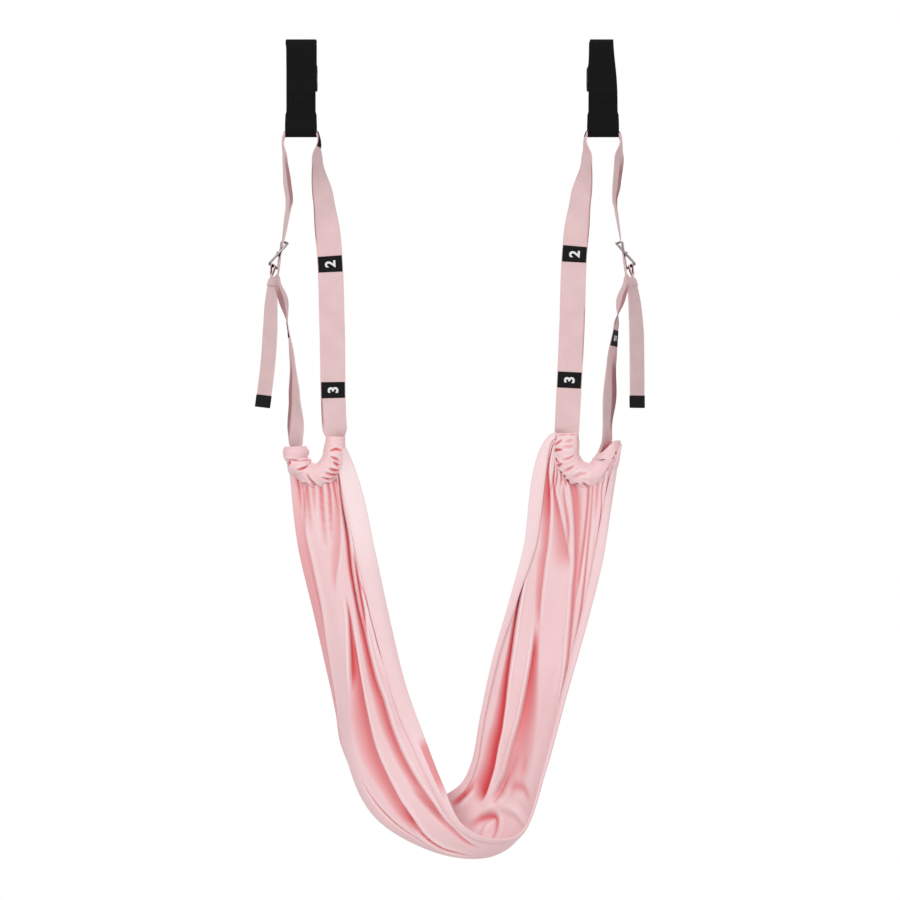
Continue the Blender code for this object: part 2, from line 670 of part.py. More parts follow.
# Sling stations from the left leg's top, through the seat, to the right leg's top.
# Each row gives the front hem, the middle and the rear hem. A hem or middle is
# (share of the casing's distance from the centre, share of the seat's depth
# forward of the door straps, share of the height from the casings to the seat).
SLING_STATIONS = [
    ((-0.670, 0.00, 0.000), (-0.930, 0.00, 0.000), (-1.190, 0.00, 0.000)),
    ((-0.572, 0.06, 0.150), (-0.851, 0.12, 0.155), (-1.130, 0.00, 0.163)),
    ((-0.465, 0.16, 0.338), (-0.743, 0.28, 0.346), (-1.022, 0.02, 0.340)),
    ((-0.347, 0.32, 0.520), (-0.636, 0.42, 0.545), (-0.900, 0.02, 0.530)),
    ((-0.196, 0.52, 0.668), (-0.513, 0.52, 0.745), (-0.733, 0.02, 0.680)),
    ((-0.068, 0.74, 0.795), (-0.391, 0.55, 0.905), (-0.513, 0.00, 0.770)),
    ((0.059, 0.96, 0.895), (-0.030, 0.55, 0.992), (-0.196, 0.00, 0.825)),
    ((0.293, 1.00, 0.940), (0.269, 0.55, 0.985), (0.025, 0.00, 0.825)),
    ((0.528, 0.82, 0.920), (0.450, 0.40, 0.890), (0.147, 0.02, 0.750)),
    ((0.680, 0.60, 0.765), (0.513, 0.22, 0.705), (0.215, 0.04, 0.612)),
    ((0.831, 0.38, 0.565), (0.611, 0.10, 0.512), (0.303, 0.04, 0.456)),
    ((0.997, 0.20, 0.347), (0.724, 0.04, 0.322), (0.420, 0.03, 0.300)),
    ((1.115, 0.08, 0.170), (0.812, 0.02, 0.158), (0.508, 0.02, 0.145)),
    ((1.190, 0.00, 0.000), (0.890, 0.00, 0.000), (0.590, 0.00, 0.000)),
]


def sling_surface():
    """Smooth rows of (front hem, middle, rear hem) points along the sling."""
    low_z = -SLING_DROP + SLING_THICKNESS / 2
    rows = np.array(SLING_STATIONS)
    places = np.empty_like(rows)
    places[..., 0] = rows[..., 0] * CASING_X
    places[..., 1] = HANG_Y - rows[..., 1] * SEAT_DEPTH
    places[..., 2] = SLING_HINGE_Z + rows[..., 2] * (low_z - SLING_HINGE_Z)
    for end, direction in ((0, 1.0), (-1, -1.0)):
        middle = places[end, 1, 0]
        places[end, 0, 0] = middle + SLING_TOP_WIDTH / 2
        places[end, 2, 0] = middle - SLING_TOP_WIDTH / 2
    count = len(places)
    slopes = np.gradient(places, axis=0)
    smooth = []
    for i in range(count - 1):
        for t in (0.0, 1 / 3, 2 / 3):
            h00 = 2 * t ** 3 - 3 * t ** 2 + 1
            h10 = t ** 3 - 2 * t ** 2 + t
            h01 = 3 * t ** 2 - 2 * t ** 3
            h11 = t ** 3 - t ** 2
            smooth.append(
                h00 * places[i] + h10 * slopes[i] + h01 * places[i + 1] + h11 * slopes[i + 1]
            )
    smooth.append(places[-1])
    return np.array(smooth)


def across(row, share):
    """A point of the sling's middle surface, at a share of the way from front hem to rear."""
    front, middle, rear = row
    turn = 2 * middle - (front + rear) / 2
    return (1 - share) ** 2 * front + 2 * share * (1 - share) * turn + share ** 2 * rear


def sling_grid():
    """The sling's middle surface, its normals, and distances in from the front hem."""
    shares = np.linspace(0.0, 1.0, SURFACE_COLUMNS + 1)
    grid = np.array([[across(row, share) for share in shares] for row in sling_surface()])
    normal = np.cross(np.gradient(grid, axis=0), np.gradient(grid, axis=1))
    normal /= np.linalg.norm(normal, axis=2, keepdims=True)
    for end in (0, -1):
        normal[end] = (0.0, math.copysign(1.0, normal[end][:, 1].mean()), 0.0)
    steps = np.linalg.norm(np.diff(grid, axis=1), axis=2)
    inward = np.concatenate([np.zeros((len(grid), 1)), np.cumsum(steps, axis=1)], axis=1)
    return grid, normal, inward


def cloth_patch(surface, edges, thickness, columns):
    """A closed strip of the sling between two distances in from its front hem.

    edges gives, for a row's full width, the distances where the strip starts
    and ends. Its two ends are rounded about the line it hangs from.
    """
    places = []
    normals = []
    for row, row_normal, inward in zip(*surface):
        distances = np.linspace(*edges(inward[-1]), columns + 1)
        for kept, values in ((places, row), (normals, row_normal)):
            kept.append([[np.interp(d, inward, values[:, k]) for k in range(3)] for d in distances])
    grid = np.array(places)
    normal = np.array(normals)
    normal /= np.linalg.norm(normal, axis=2, keepdims=True)
    half = thickness / 2
    upper = grid + half * normal
    lower = grid - half * normal
    solid = bmesh.new()
    rise = np.array([0.0, 0.0, 1.0])

    def rounded_end(line, facing):
        turns = [math.pi * step / END_STEPS for step in range(1, END_STEPS)]
        return [line + half * (math.cos(a) * facing + math.sin(a) * rise) for a in turns]

    end_cap = rounded_end(grid[-1], normal[-1])
    start_cap = rounded_end(grid[0], -normal[0])
    belt = list(upper) + end_cap + list(lower[::-1]) + start_cap
    rings = [[solid.verts.new(p) for p in line] for line in belt]
    count = len(rings)
    for i in range(count):
        ring = rings[i]
        after = rings[(i + 1) % count]
        for k in range(columns):
            solid.faces.new((ring[k], ring[k + 1], after[k + 1], after[k]))
    rows_count = len(grid)
    caps = len(end_cap)
    for k in (0, columns):
        for i in range(rows_count - 1):
            mirror = count - caps - 1 - i
            solid.faces.new((rings[i][k], rings[i + 1][k], rings[mirror - 1][k], rings[mirror][k]))
        turn = [rings[i][k] for i in range(rows_count - 1, rows_count + caps + 1)]
        solid.faces.new(turn)
        turn = [rings[i % count][k] for i in range(count - caps - 1, count + 1)]
        solid.faces.new(turn)
    return solid


def sling(panel_material, hem_material):
    """The cloth of the sling: a front hem, a panel and a rear hem, side by side."""
    surface = sling_grid()
    pivot = (0.0, HANG_Y, SLING_HINGE_Z)

    def front_edges(width):
        return 0.0, HEM_WIDTH

    def panel_edges(width):
        return HEM_WIDTH + HEM_GAP, width - HEM_WIDTH - HEM_GAP

    def rear_edges(width):
        return width - HEM_WIDTH, width

    parts = (
        ("sling_front_hem", front_edges, HEM_THICKNESS, 2, hem_material),
        ("sling_panel", panel_edges, SLING_THICKNESS, 8, panel_material),
        ("sling_rear_hem", rear_edges, HEM_THICKNESS, 2, hem_material),
    )
    for name, edges, thickness, columns, material in parts:
        solid = cloth_patch(surface, edges, thickness, columns)
        object_from(name, solid, material, pivot, smooth=True)


def build():
    clear_scene()
    black = make_material("black webbing", (0.012, 0.012, 0.013), 0.85)
    foam = make_material("black foam", (0.02, 0.02, 0.02), 0.95)
    core = make_material("grey plastic", (0.25, 0.25, 0.26), 0.5)
    pink = make_material("pink webbing", (0.78, 0.52, 0.53), 0.8)
    cloth = make_material("pink stretch cloth", (0.90, 0.50, 0.50), 0.6)
    hem_cloth = make_material("pink hem", (0.90, 0.52, 0.52), 0.6)
    steel = make_material("dark steel", (0.10, 0.10, 0.11), 0.3, 1.0)
    label = make_material("black label", (0.01, 0.01, 0.01), 0.8)
    route = webbing_route()
    for side in SIDES:
        strap_top(side, black)
        strap_front(side, black)
        stopper(side, foam, core)
        webbing_loop(side, route, pink)
        labels(side, route, label)
        casing(side, route, cloth)
        adjuster(side, steel)
        tail(side, pink, label)
    sling(cloth, hem_cloth)


build()
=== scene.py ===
"""Looks of the yoga inversion strap: door straps, webbing loops, labels, adjusters, casings and sling."""
import math

import bpy
import numpy as np
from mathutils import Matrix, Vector


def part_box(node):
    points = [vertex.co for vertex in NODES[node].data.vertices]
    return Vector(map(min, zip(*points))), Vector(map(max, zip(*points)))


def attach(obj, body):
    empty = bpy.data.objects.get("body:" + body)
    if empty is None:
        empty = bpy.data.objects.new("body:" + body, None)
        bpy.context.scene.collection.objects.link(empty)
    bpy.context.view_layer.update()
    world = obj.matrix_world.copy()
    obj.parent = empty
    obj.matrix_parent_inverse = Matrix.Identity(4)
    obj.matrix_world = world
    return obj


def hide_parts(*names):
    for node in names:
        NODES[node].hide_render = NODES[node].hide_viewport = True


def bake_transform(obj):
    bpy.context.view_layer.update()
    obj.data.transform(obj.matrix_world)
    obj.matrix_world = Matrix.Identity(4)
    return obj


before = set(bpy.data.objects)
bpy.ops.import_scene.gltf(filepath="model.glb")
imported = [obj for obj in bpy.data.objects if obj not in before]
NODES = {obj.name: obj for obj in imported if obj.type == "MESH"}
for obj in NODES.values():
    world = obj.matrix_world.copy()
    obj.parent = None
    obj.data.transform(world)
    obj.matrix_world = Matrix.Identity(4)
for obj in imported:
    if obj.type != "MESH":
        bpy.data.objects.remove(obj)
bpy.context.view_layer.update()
SIDES = {"left": -1.0, "right": 1.0}

# Places and sizes, metres
HANG_Y = -0.0216
STRAP_X, STRAP_WIDTH, STRAP_LAYER = 0.2265, 0.044, 0.0016
LOOP_Z, LOOP_RADIUS = -0.1294, 0.0128
ROLL_Y, ROLL_Z, ROLL_EYE_RADIUS = 0.0399, -0.048, 0.0191
WEBBING_WIDTH, WEBBING_THICKNESS = 0.038, 0.0014
LABEL_LENGTH, LABEL_WIDTH, LABEL_THICKNESS, LABEL_GAP = 0.024, 0.036, 0.0005, 0.0002
END_LABEL_LAYER = 0.0006
BAR_TOP, BAR_MIDDLE, BAR_BOTTOM = (0.25064, -0.30055), (0.25936, -0.31855), (0.26809, -0.33654)
RUN_UP = (-0.156434, 0.987688)
WIRE = 0.0019
CLOTH_THICKNESS = 0.0012
FLOOR_Z = -1.7
# Stitches: pitch, length, width and height, metres
LABEL_STITCH = (0.0030, 0.0023, 0.0005, 0.0003)
STRAP_STITCH = (0.0032, 0.0026, 0.0006, 0.0004)
TACK_STITCH = (0.0016, 0.0015, 0.0004, 0.0003)
HEM_STITCH = (0.0034, 0.0024, 0.0004, 0.0002)
# Corners of the faces of one stitch: six round its foot and two along its back
STITCH_FACES = ((0, 1, 6), (1, 2, 7, 6), (2, 3, 7), (3, 4, 7), (4, 5, 6, 7), (5, 0, 6), (5, 4, 3, 2, 1, 0))


# ---------------------------------------------------------------- curves and waves
def smoothstep(t):
    t = np.clip(t, 0.0, 1.0)
    return t * t * (3.0 - 2.0 * t)


def unit(v):
    return v / np.linalg.norm(v, axis=-1, keepdims=True)


def lengths_along(path):
    """Distance along a line of points from its first one."""
    return np.concatenate([[0], np.cumsum(np.linalg.norm(np.diff(path, axis=0), axis=1))])


def read_at(at, places, table):
    """The columns of a table, whose rows stand at the places, read between them."""
    return np.stack([np.interp(at, places, table[:, k]) for k in range(table.shape[1])], axis=-1)


def hermite(t, a, slope_a, b, slope_b):
    """The smooth curve from a to b with these slopes at its ends."""
    return ((2 * t**3 - 3 * t**2 + 1) * a + (t**3 - 2 * t**2 + t) * slope_a
            + (3 * t**2 - 2 * t**3) * b + (t**3 - t**2) * slope_b)


def curve_through(points, spacing, closed=False):
    """Evenly spaced points on a smooth curve through the given ones, with their knots and distances."""
    points = np.array(points, float)
    if closed:
        points = np.vstack([points, points[:1]])
    chords = np.linalg.norm(np.diff(points, axis=0), axis=1)[:, None]
    slopes = np.diff(points, axis=0) / chords
    before, chord_before = np.roll(slopes, 1, axis=0), np.roll(chords, 1, axis=0)
    tangents = (before * chords + slopes * chord_before) / (chord_before + chords)
    if closed:
        tangents = np.vstack([tangents, tangents[:1]])
    else:
        tangents = np.vstack([slopes[:1], tangents[1:], slopes[-1:]])
    fine, knots = [], []
    for i, chord in enumerate(chords[:, 0]):
        t = np.linspace(0, 1, max(6, int(chord / spacing * 3)), endpoint=False)[:, None]
        fine.append(hermite(t, points[i], tangents[i] * chord, points[i + 1], tangents[i + 1] * chord))
        knots += list(i + t[:, 0])
    fine = np.vstack(fine + [points[-1:]])
    knots.append(float(len(chords)))
    lengths = lengths_along(fine)
    at = np.linspace(0, lengths[-1], max(4, int(round(lengths[-1] / spacing))) + 1)
    return read_at(at, lengths, fine), np.interp(at, lengths, knots), at


def evened(values, times=3):
    for _ in range(times):
        padded = np.concatenate([values[:1], values, values[-1:]])
        values = 0.25 * padded[:-2] + 0.5 * padded[1:-1] + 0.25 * padded[2:]
    return values


def soft_noise(x, y, seed, octaves=3):
    """Smooth waves in two directions, about -1 to 1."""
    chooser = np.random.default_rng(seed)
    total, weight = 0.0, 0.0
    for octave in range(octaves):
        scale = 2.0 ** octave
        for _ in range(4):
            ax, ay, phase = chooser.normal(0, 1), chooser.normal(0, 1), chooser.uniform(0, 6.28)
            total = total + np.sin((ax * x + ay * y) * scale * 2.2 + phase) / scale
        weight += 4 / scale
    return total / weight * 2.2


def smooth_knots(knots, count):
    """The columns of a crease's knots, spread over more points and evened."""
    knots = np.array(knots, float)
    way = np.linspace(0, len(knots) - 1, count)
    return [evened(np.interp(way, range(len(knots)), column), 2) for column in knots.T]


def crease(away, width, ends, bluntness):
    """How strong a crease is, and the rise beside it, from the distances to the points of its line (last axis)."""
    taper = np.sin(np.linspace(ends, math.pi - ends, away.shape[-1])) ** bluntness
    strength = (taper * np.exp(-(away / width) ** 2)).max(axis=-1)
    beside = (taper * np.exp(-((away - 1.9 * width) / width) ** 2)).max(axis=-1) * (1 - strength)
    return strength, beside


def walk(corners, step):
    """Points on straight lines from corner to corner, without the last corner."""
    points = []
    for (x0, y0), (x1, y1) in zip(corners, corners[1:]):
        count = max(2, int(math.hypot(x1 - x0, y1 - y0) / step))
        points += [(x0 + (x1 - x0) * t, y0 + (y1 - y0) * t) for t in np.linspace(0, 1, count, endpoint=False)]
    return points


def edge_loop(half_long, half_wide, inset):
    """Points round a rectangle, inside its edge."""
    a, b = half_long - inset, half_wide - inset
    corners = [(-a, -b), (a, -b), (a, b), (-a, b), (-a, -b)]
    return np.array(walk(corners, 0.0012) + corners[-1:])


def in_plane(line):
    """A line in x and z, in the plane in which the webbing hangs."""
    return np.stack([line[:, 0], np.full(len(line), HANG_Y), line[:, 1]], axis=1)


def strap_frame(line, ahead, twist):
    """Centre, width direction and facing direction of webbing along a line in x and z."""
    zero = np.zeros(len(line))
    outward = np.stack([ahead[:, 1], zero, -ahead[:, 0]], axis=1)
    along_y = np.stack([zero, zero + 1, zero], axis=1)
    c, s = np.cos(twist)[:, None], np.sin(twist)[:, None]
    return in_plane(line), c * along_y + s * outward, c * outward - s * along_y


def mirrored(sign, *parts):
    """Points or directions of the right side, taken to the wanted side."""
    return [v * (sign, 1.0, 1.0) for v in parts]


def hold(item, body, slot, *nodes):
    """The piece rides a body and stands for the nodes; the slot is not used."""
    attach(item, body)
    if nodes:
        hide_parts(*nodes)


# ---------------------------------------------------------------- mesh builders
def facing_out(mesh):
    """Turns the faces over if the closed mesh is inside out."""
    mesh.calc_loop_triangles()
    corners = np.empty(len(mesh.vertices) * 3)
    mesh.vertices.foreach_get("co", corners)
    corners = corners.reshape(-1, 3)
    triangles = np.empty(len(mesh.loop_triangles) * 3, int)
    mesh.loop_triangles.foreach_get("vertices", triangles)
    a, b, c = (corners[triangles.reshape(-1, 3)[:, k]] for k in range(3))
    if np.einsum("ij,ij->i", a, np.cross(b, c)).sum() < 0:
        mesh.flip_normals()


def new_object(name, mesh, material):
    item = bpy.data.objects.new(name, mesh)
    bpy.context.scene.collection.objects.link(item)
    mesh.materials.append(material)
    return item


def ring_solid(name, rings, material, uv=None, closed=False, marks=None):
    """A closed solid from rings of points (stations, around, 3), capped unless it closes on itself."""
    n, k = rings.shape[:2]
    i, j = np.meshgrid(np.arange(n if closed else n - 1), np.arange(k), indexing="ij")
    i2, j2 = (i + 1) % n, (j + 1) % k
    faces = np.stack([i * k + j, i * k + j2, i2 * k + j2, i2 * k + j], axis=-1).reshape(-1, 4).tolist()
    if not closed:
        for step in range(k // 2 - 1):
            near, far = step, k - 1 - step
            faces.append([near, far, far - 1, near + 1])
        for step in range(k // 2 - 1):
            near, far = (n - 1) * k + step, n * k - 1 - step
            faces.append([near, near + 1, far - 1, far])
    mesh = bpy.data.meshes.new(name)
    mesh.from_pydata(rings.reshape(-1, 3).tolist(), [], faces)
    if uv is not None:
        corners = np.stack([uv[i, j], uv[i, j + 1], uv[i + 1, j + 1], uv[i + 1, j]], axis=2).reshape(-1, 2)
        flat = np.zeros((len(mesh.loops), 2))
        flat[: len(corners)] = corners
        mesh.uv_layers.new(name="cloth").data.foreach_set("uv", flat.ravel())
    for mark, values in (marks or {}).items():
        attribute = mesh.attributes.new(mark, "FLOAT", "POINT")
        attribute.data.foreach_set("value", np.ascontiguousarray(values, np.float32).ravel())
    mesh.validate()
    facing_out(mesh)
    mesh.shade_smooth()
    return new_object(name, mesh, material)


def surface_normals(sheet, closed=False):
    along = np.roll(sheet, -1, axis=0) - np.roll(sheet, 1, axis=0) if closed else np.gradient(sheet, axis=0)
    normal = np.cross(along, np.gradient(sheet, axis=1))
    return normal / np.maximum(np.linalg.norm(normal, axis=2, keepdims=True), 1e-12)


def shell(name, sheet, half, material, uv, closed=False, marks=None):
    """A thin closed solid on both sides of a sheet of points (along, across, 3)."""
    off = surface_normals(sheet, closed) * np.broadcast_to(half, sheet.shape[:2])[..., None]
    rings = np.concatenate([sheet + off, (sheet - off)[:, ::-1]], axis=1)
    uv_ring = np.concatenate([uv, uv[:, ::-1], uv[:, :1]], axis=1)
    both = {key: np.concatenate([v, v[:, ::-1]], axis=1) for key, v in (marks or {}).items()}
    return ring_solid(name, rings, material, uv_ring, closed, both)


# Places across a strap from edge to edge, how full it is there, and its waves where it is bunched
EDGE = np.array([-1, -0.985, -0.95, -0.88])
FLAT = np.linspace(-0.8, 0.8, 15)
ACROSS = np.concatenate([EDGE, FLAT, -EDGE[::-1]])
EDGE_FULL = np.interp(np.abs(ACROSS), [0.88, 0.95, 0.985, 1.0], [1.0, 0.93, 0.7, 0.25])
BUNCHED = np.cos(3 * math.pi * ACROSS)


def strip(name, centre, wide, face, width, thick, material, closed=False, bunch=0.0, shade=None):
    """A flat strap along a line, or one bunched into waves."""
    n = len(centre)
    width, thick, bunch = (np.broadcast_to(v, n)[:, None] for v in (width, thick, bunch))
    sheet = (centre[:, None] + wide[:, None] * (width / 2 * ACROSS)[..., None]
             + face[:, None] * (bunch * BUNCHED)[..., None])
    lengths = lengths_along(np.vstack([centre, centre[:1]]))[: n + 1 if closed else n]
    uv = np.zeros((len(lengths), len(ACROSS), 2))
    uv[..., 0] = lengths[:, None]
    uv[..., 1] = ACROSS * WEBBING_WIDTH / 2
    marks = {} if shade is None else {"shade": shade}
    return shell(name, sheet, thick / 2 * EDGE_FULL, material, uv, closed, marks)


def stitches(name, path, normal, size, material):
    """A row of short stitches along a line of surface points."""
    pitch, length, width, lift = size
    steps = lengths_along(path)
    places, faces = [], []
    for k, s in enumerate(np.arange(pitch / 2, steps[-1], pitch)):
        a, b = (read_at(t, steps, path) for t in (s - length / 2, s + length / 2))
        up, along = unit(read_at(s, steps, normal)), b - a
        side = unit(np.cross(up, along)) * width / 2
        low, high = -0.4 * lift * up, lift * up
        mid_a, mid_b = a + along * 0.25, b - along * 0.25
        places += [a + low, mid_a + side + low, mid_b + side + low, b + low, mid_b - side + low, mid_a - side + low,
                   mid_a + high, mid_b + high]
        faces += [tuple(8 * k + corner for corner in face) for face in STITCH_FACES]
    mesh = bpy.data.meshes.new(name)
    mesh.from_pydata([tuple(p) for p in places], [], faces)
    mesh.validate()
    facing_out(mesh)
    return new_object(name, mesh, material)


# ---------------------------------------------------------------- finishes
# Divisor in the scale of the bands of a weave
BAND_FACTOR = 6.283


class Finish:
    """A material and the nodes of its pattern."""

    def __init__(self, name, roughness, **sockets):
        self.material = bpy.data.materials.new(name)
        self.material.use_nodes = True
        self.tree = self.material.node_tree
        self.shader = self.tree.nodes["Principled BSDF"]
        self.shader.inputs["Roughness"].default_value = roughness
        for key, value in sockets.items():
            self.shader.inputs[key.replace("_", " ")].default_value = value

    def node(self, kind, inputs=None, **settings):
        new = self.tree.nodes.new(kind)
        for key, value in settings.items():
            setattr(new, key, value)
        for key, value in (inputs or {}).items():
            if isinstance(value, bpy.types.NodeSocket):
                self.tree.links.new(value, new.inputs[key])
            else:
                new.inputs[key].default_value = value
        return new

    def bands(self, size, direction, distortion=0.0):
        """Bands of the weave: a smaller size, in metres, gives finer bands."""
        return self.wave(self.uv(), 1.0 / size / BAND_FACTOR, direction, distortion)

    def math(self, operation, a, b=0.0):
        return self.node("ShaderNodeMath", {0: a, 1: b}, operation=operation).outputs[0]

    def uv(self):
        return self.node("ShaderNodeUVMap", uv_map="cloth").outputs[0]

    def place(self, scale=(1, 1, 1)):
        place = self.node("ShaderNodeTexCoord").outputs["Object"]
        return self.node("ShaderNodeMapping", {0: place, "Scale": scale}).outputs[0]

    def noise(self, where, scale, detail=3.0):
        return self.node("ShaderNodeTexNoise", {"Vector": where, "Scale": scale, "Detail": detail}).outputs[0]

    def wave(self, where, scale, direction="X", distortion=0.0):
        return self.node("ShaderNodeTexWave", {"Vector": where, "Scale": scale, "Distortion": distortion},
                         wave_type="BANDS", bands_direction=direction, wave_profile="SIN").outputs["Fac"]

    def mark(self, name):
        return self.node("ShaderNodeAttribute", attribute_name=name).outputs["Fac"]

    def mix(self, share, a, b):
        a, b = ((*v, 1.0) if isinstance(v, tuple) else v for v in (a, b))
        return self.node("ShaderNodeMix", {0: share, 6: a, 7: b}, data_type="RGBA").outputs[2]

    def span(self, value, low, high, to_low=0.0, to_high=1.0):
        return self.node("ShaderNodeMapRange", {"Value": value, 1: low, 2: high, 3: to_low, 4: to_high}).outputs[0]

    def colour(self, value):
        self.tree.links.new(value, self.shader.inputs["Base Color"])

    def rough(self, value):
        self.tree.links.new(value, self.shader.inputs["Roughness"])

    def bump(self, height, distance, strength=1.0):
        bump = self.node("ShaderNodeBump", {"Height": height, "Distance": distance, "Strength": strength})
        self.tree.links.new(bump.outputs[0], self.shader.inputs["Normal"])


def cloth_finish(name, light, deep, painted_highlight):
    """Stretch cloth: fine knit, a soft sheen, painted shade down in the folds and painted highlights beside them and
    along the hems.
    """
    f = Finish(name, 0.5, Sheen_Weight=0.25, Sheen_Roughness=0.4, Specular_IOR_Level=0.3)
    f.shader.inputs["Sheen Tint"].default_value = (1.0, 0.85, 0.86, 1.0)
    broad = f.noise(f.place(), 9.0, 2.0)
    cloudy = f.mix(f.span(broad, 0.35, 0.65), light, tuple(c * s for c, s in zip(light, (0.97, 0.93, 0.93))))
    # the marks on the points paint shade deep red down in the folds and paint highlights paler beside them and along
    # the hems
    f.colour(f.mix(f.mark("fold_shade"), f.mix(f.mark("painted_highlight"), cloudy, painted_highlight), deep))
    knit = f.math("MULTIPLY", f.bands(0.0009, "Y", 0.6), f.bands(0.0007, "X", 0.6))
    grain = f.math("ADD", knit, f.math("MULTIPLY", f.noise(f.place(), 700.0), 0.6))
    f.bump(grain, 0.00012, 0.35)
    f.rough(f.span(f.noise(f.place(), 60.0), 0.3, 0.7, 0.42, 0.58))
    return f.material


def webbing_finish(name, colour, shade, rib, pick, depth, roughness, sheen):
    """Woven webbing: ribs along it, picks across it, deeper colour where its mark says shade."""
    f = Finish(name, roughness, Sheen_Weight=sheen, Sheen_Roughness=0.5, Specular_IOR_Level=0.2 if sheen else 0.08)
    ribs, picks = f.bands(rib, "Y"), f.bands(pick, "X", 0.4)
    weave = f.math("ADD", f.math("MULTIPLY", ribs, 0.65), f.math("MULTIPLY", picks, 0.35))
    stain = f.noise(f.uv(), 38.0, 2.0)
    tone = f.mix(f.span(stain, 0.35, 0.65), colour, tuple(c * 0.93 for c in colour))
    woven = f.mix(f.span(weave, 0.0, 0.45, 0.55, 0.0), tone, shade)
    f.colour(f.mix(f.mark("shade"), woven, tuple(c * s for c, s in zip(colour, (0.40, 0.17, 0.19)))))
    f.bump(f.math("ADD", weave, f.math("MULTIPLY", f.noise(f.uv(), 2400.0), 0.3)), depth, 0.6)
    return f.material


def thread_finish(name, colour):
    f = Finish(name, 0.7, Specular_IOR_Level=0.15)
    f.colour(f.mix(f.noise(f.place(), 900.0), colour, tuple(c * 0.8 for c in colour)))
    f.bump(f.wave(f.place(), 900.0, "DIAGONAL"), 0.0001, 0.5)
    return f.material


def foam_finish():
    f = Finish("stopper_foam", 0.85, Specular_IOR_Level=0.2)
    cells = f.node("ShaderNodeTexVoronoi", {"Vector": f.place(), "Scale": 900.0}).outputs["Distance"]
    f.colour(f.mix(f.span(cells, 0.1, 0.6), (0.012, 0.012, 0.013), (0.03, 0.03, 0.032)))
    f.bump(f.math("ADD", cells, f.noise(f.place(), 140.0)), 0.0004, 0.5)
    return f.material


def rod_finish():
    f = Finish("stopper_rod", 0.45, Specular_IOR_Level=0.4)
    streaks = f.noise(f.place((1, 60, 60)), 20.0)
    f.colour(f.mix(streaks, (0.15, 0.15, 0.16), (0.2, 0.2, 0.21)))
    f.bump(streaks, 0.0001, 0.3)
    return f.material


def steel_finish():
    f = Finish("dark_nickel_wire", 0.3, Metallic=1.0)
    scuffs = f.noise(f.place(), 220.0, 4.0)
    f.colour(f.mix(f.span(scuffs, 0.4, 0.7), (0.22, 0.20, 0.20), (0.38, 0.35, 0.35)))
    f.rough(f.span(scuffs, 0.3, 0.7, 0.22, 0.42))
    f.bump(f.noise(f.place(), 900.0), 0.00005, 0.3)
    return f.material


def label_finish():
    f = Finish("label_tape", 0.8, Specular_IOR_Level=0.08)
    weave = f.math("MULTIPLY", f.bands(0.0006, "Y"), f.bands(0.00045, "X"))
    f.colour(f.mix(weave, (0.007, 0.007, 0.008), (0.018, 0.018, 0.019)))
    f.bump(weave, 0.0001, 0.5)
    return f.material


# the first colour is the cloth's own; the deep red is painted shade for the folds, and the paler colour below is a
# painted highlight
LIGHT_CLOTH, PAINTED_FOLD_SHADE = (0.87, 0.60, 0.62), (0.70, 0.055, 0.065)
CLOTH = cloth_finish("pink_stretch_cloth", LIGHT_CLOTH, PAINTED_FOLD_SHADE, (0.93, 0.74, 0.75))
PINK_WEBBING = webbing_finish("pink_ribbed_webbing", (0.76, 0.535, 0.54), (0.70, 0.47, 0.48),
                              0.0021, 0.0012, 0.0001, 0.75, 0.15)
BLACK_WEBBING = webbing_finish("black_nylon_webbing", (0.0065, 0.0065, 0.007), (0.003, 0.003, 0.003),
                               0.0026, 0.0014, 0.0002, 0.85, 0.0)
LABEL = label_finish()
LABEL_MARK = thread_finish("white_label_thread", (0.86, 0.86, 0.86))
PINK_THREAD = thread_finish("pink_thread", (0.80, 0.42, 0.45))
BLACK_THREAD = thread_finish("black_thread", (0.006, 0.006, 0.006))
FOAM = foam_finish()
ROD = rod_finish()
STEEL = steel_finish()


# ---------------------------------------------------------------- webbing loops
# Route of a loop: outward x, z, twist, width, overall thickness
ROUTE_ROWS = [
    (.22650, -.13530, 0, .016, .005), (.20490, -.13530, 0, .016, .005), (.20410, -.13530, 0, .016, .005),
    (.20100, -.14130, 0, .020, .004), (.20206, -.17530, .39270, .038, .0014),
    (.19305, -.23462, .94248, .038, .0014), (.18457, -.30665, 1.57080, .038, .0014),
    (.17980, -.42952, 1.57080, .038, .0014), (.17609, -.57909, 1.45, .037, .0014),
    (.17450, -.59900, 1.05, .034, .0020), (.17750, -.62858, 0, .026, .004),
    (.19070, -.64541, 0, .026, .004), (.20450, -.65000, 0, .026, .004), (.21830, -.64541, 0, .026, .004),
    (.23150, -.62858, 0, .026, .004), (.23450, -.59900, .62, .034, .0020),
    (.23450, -.57698, .65973, .038, .0014), (.23643, -.53295, .56549, .038, .0014),
    (.23947, -.47913, .26704, .038, .0014), (.24637, -.42531, .23562, .038, .0014), (.2535, -.385, 0, .038, .0014),
    (.26210, -.35436, 0, .038, .0014), (.26116, -.34843, 0, .038, .0014), (.24527, -.24808, 0, .038, .0014),
    (.24433, -.24216, 0, .038, .0014), (.24709, -.21207, 0, .038, .0014), (.25070, -.17530, 0, .038, .0014),
    (.25200, -.14130, 0, .020, .004), (.24890, -.13530, 0, .016, .005), (.24810, -.13530, 0, .016, .005),
]
# Turns of the outer run that differ from side to side: row, twist
TURNS = {
    "left": ((15, .72), (16, .75), (17, .50), (18, .24), (19, .05), (20, -.34), (21, -.18), (23, .26), (24, .32),
             (25, .34), (26, .22)),
    "right": ((14, .80), (15, .52), (16, .44), (17, .60), (18, .42), (19, .23), (20, -.30), (21, -.18), (23, .16),
              (24, .22), (25, .36), (26, .42)),
}
# Places of the runs that differ from side to side: row, outward x, z, width
MOVED = {
    "left": ((9, .1745, -.5990, .028),),
    "right": ((8, .1724, -.57909, .037), (9, .1715, -.5960, .036), (14, .2262, -.6240, .026),
              (15, .2325, -.5990, .033), (16, .2330, -.57698, .036)),
}
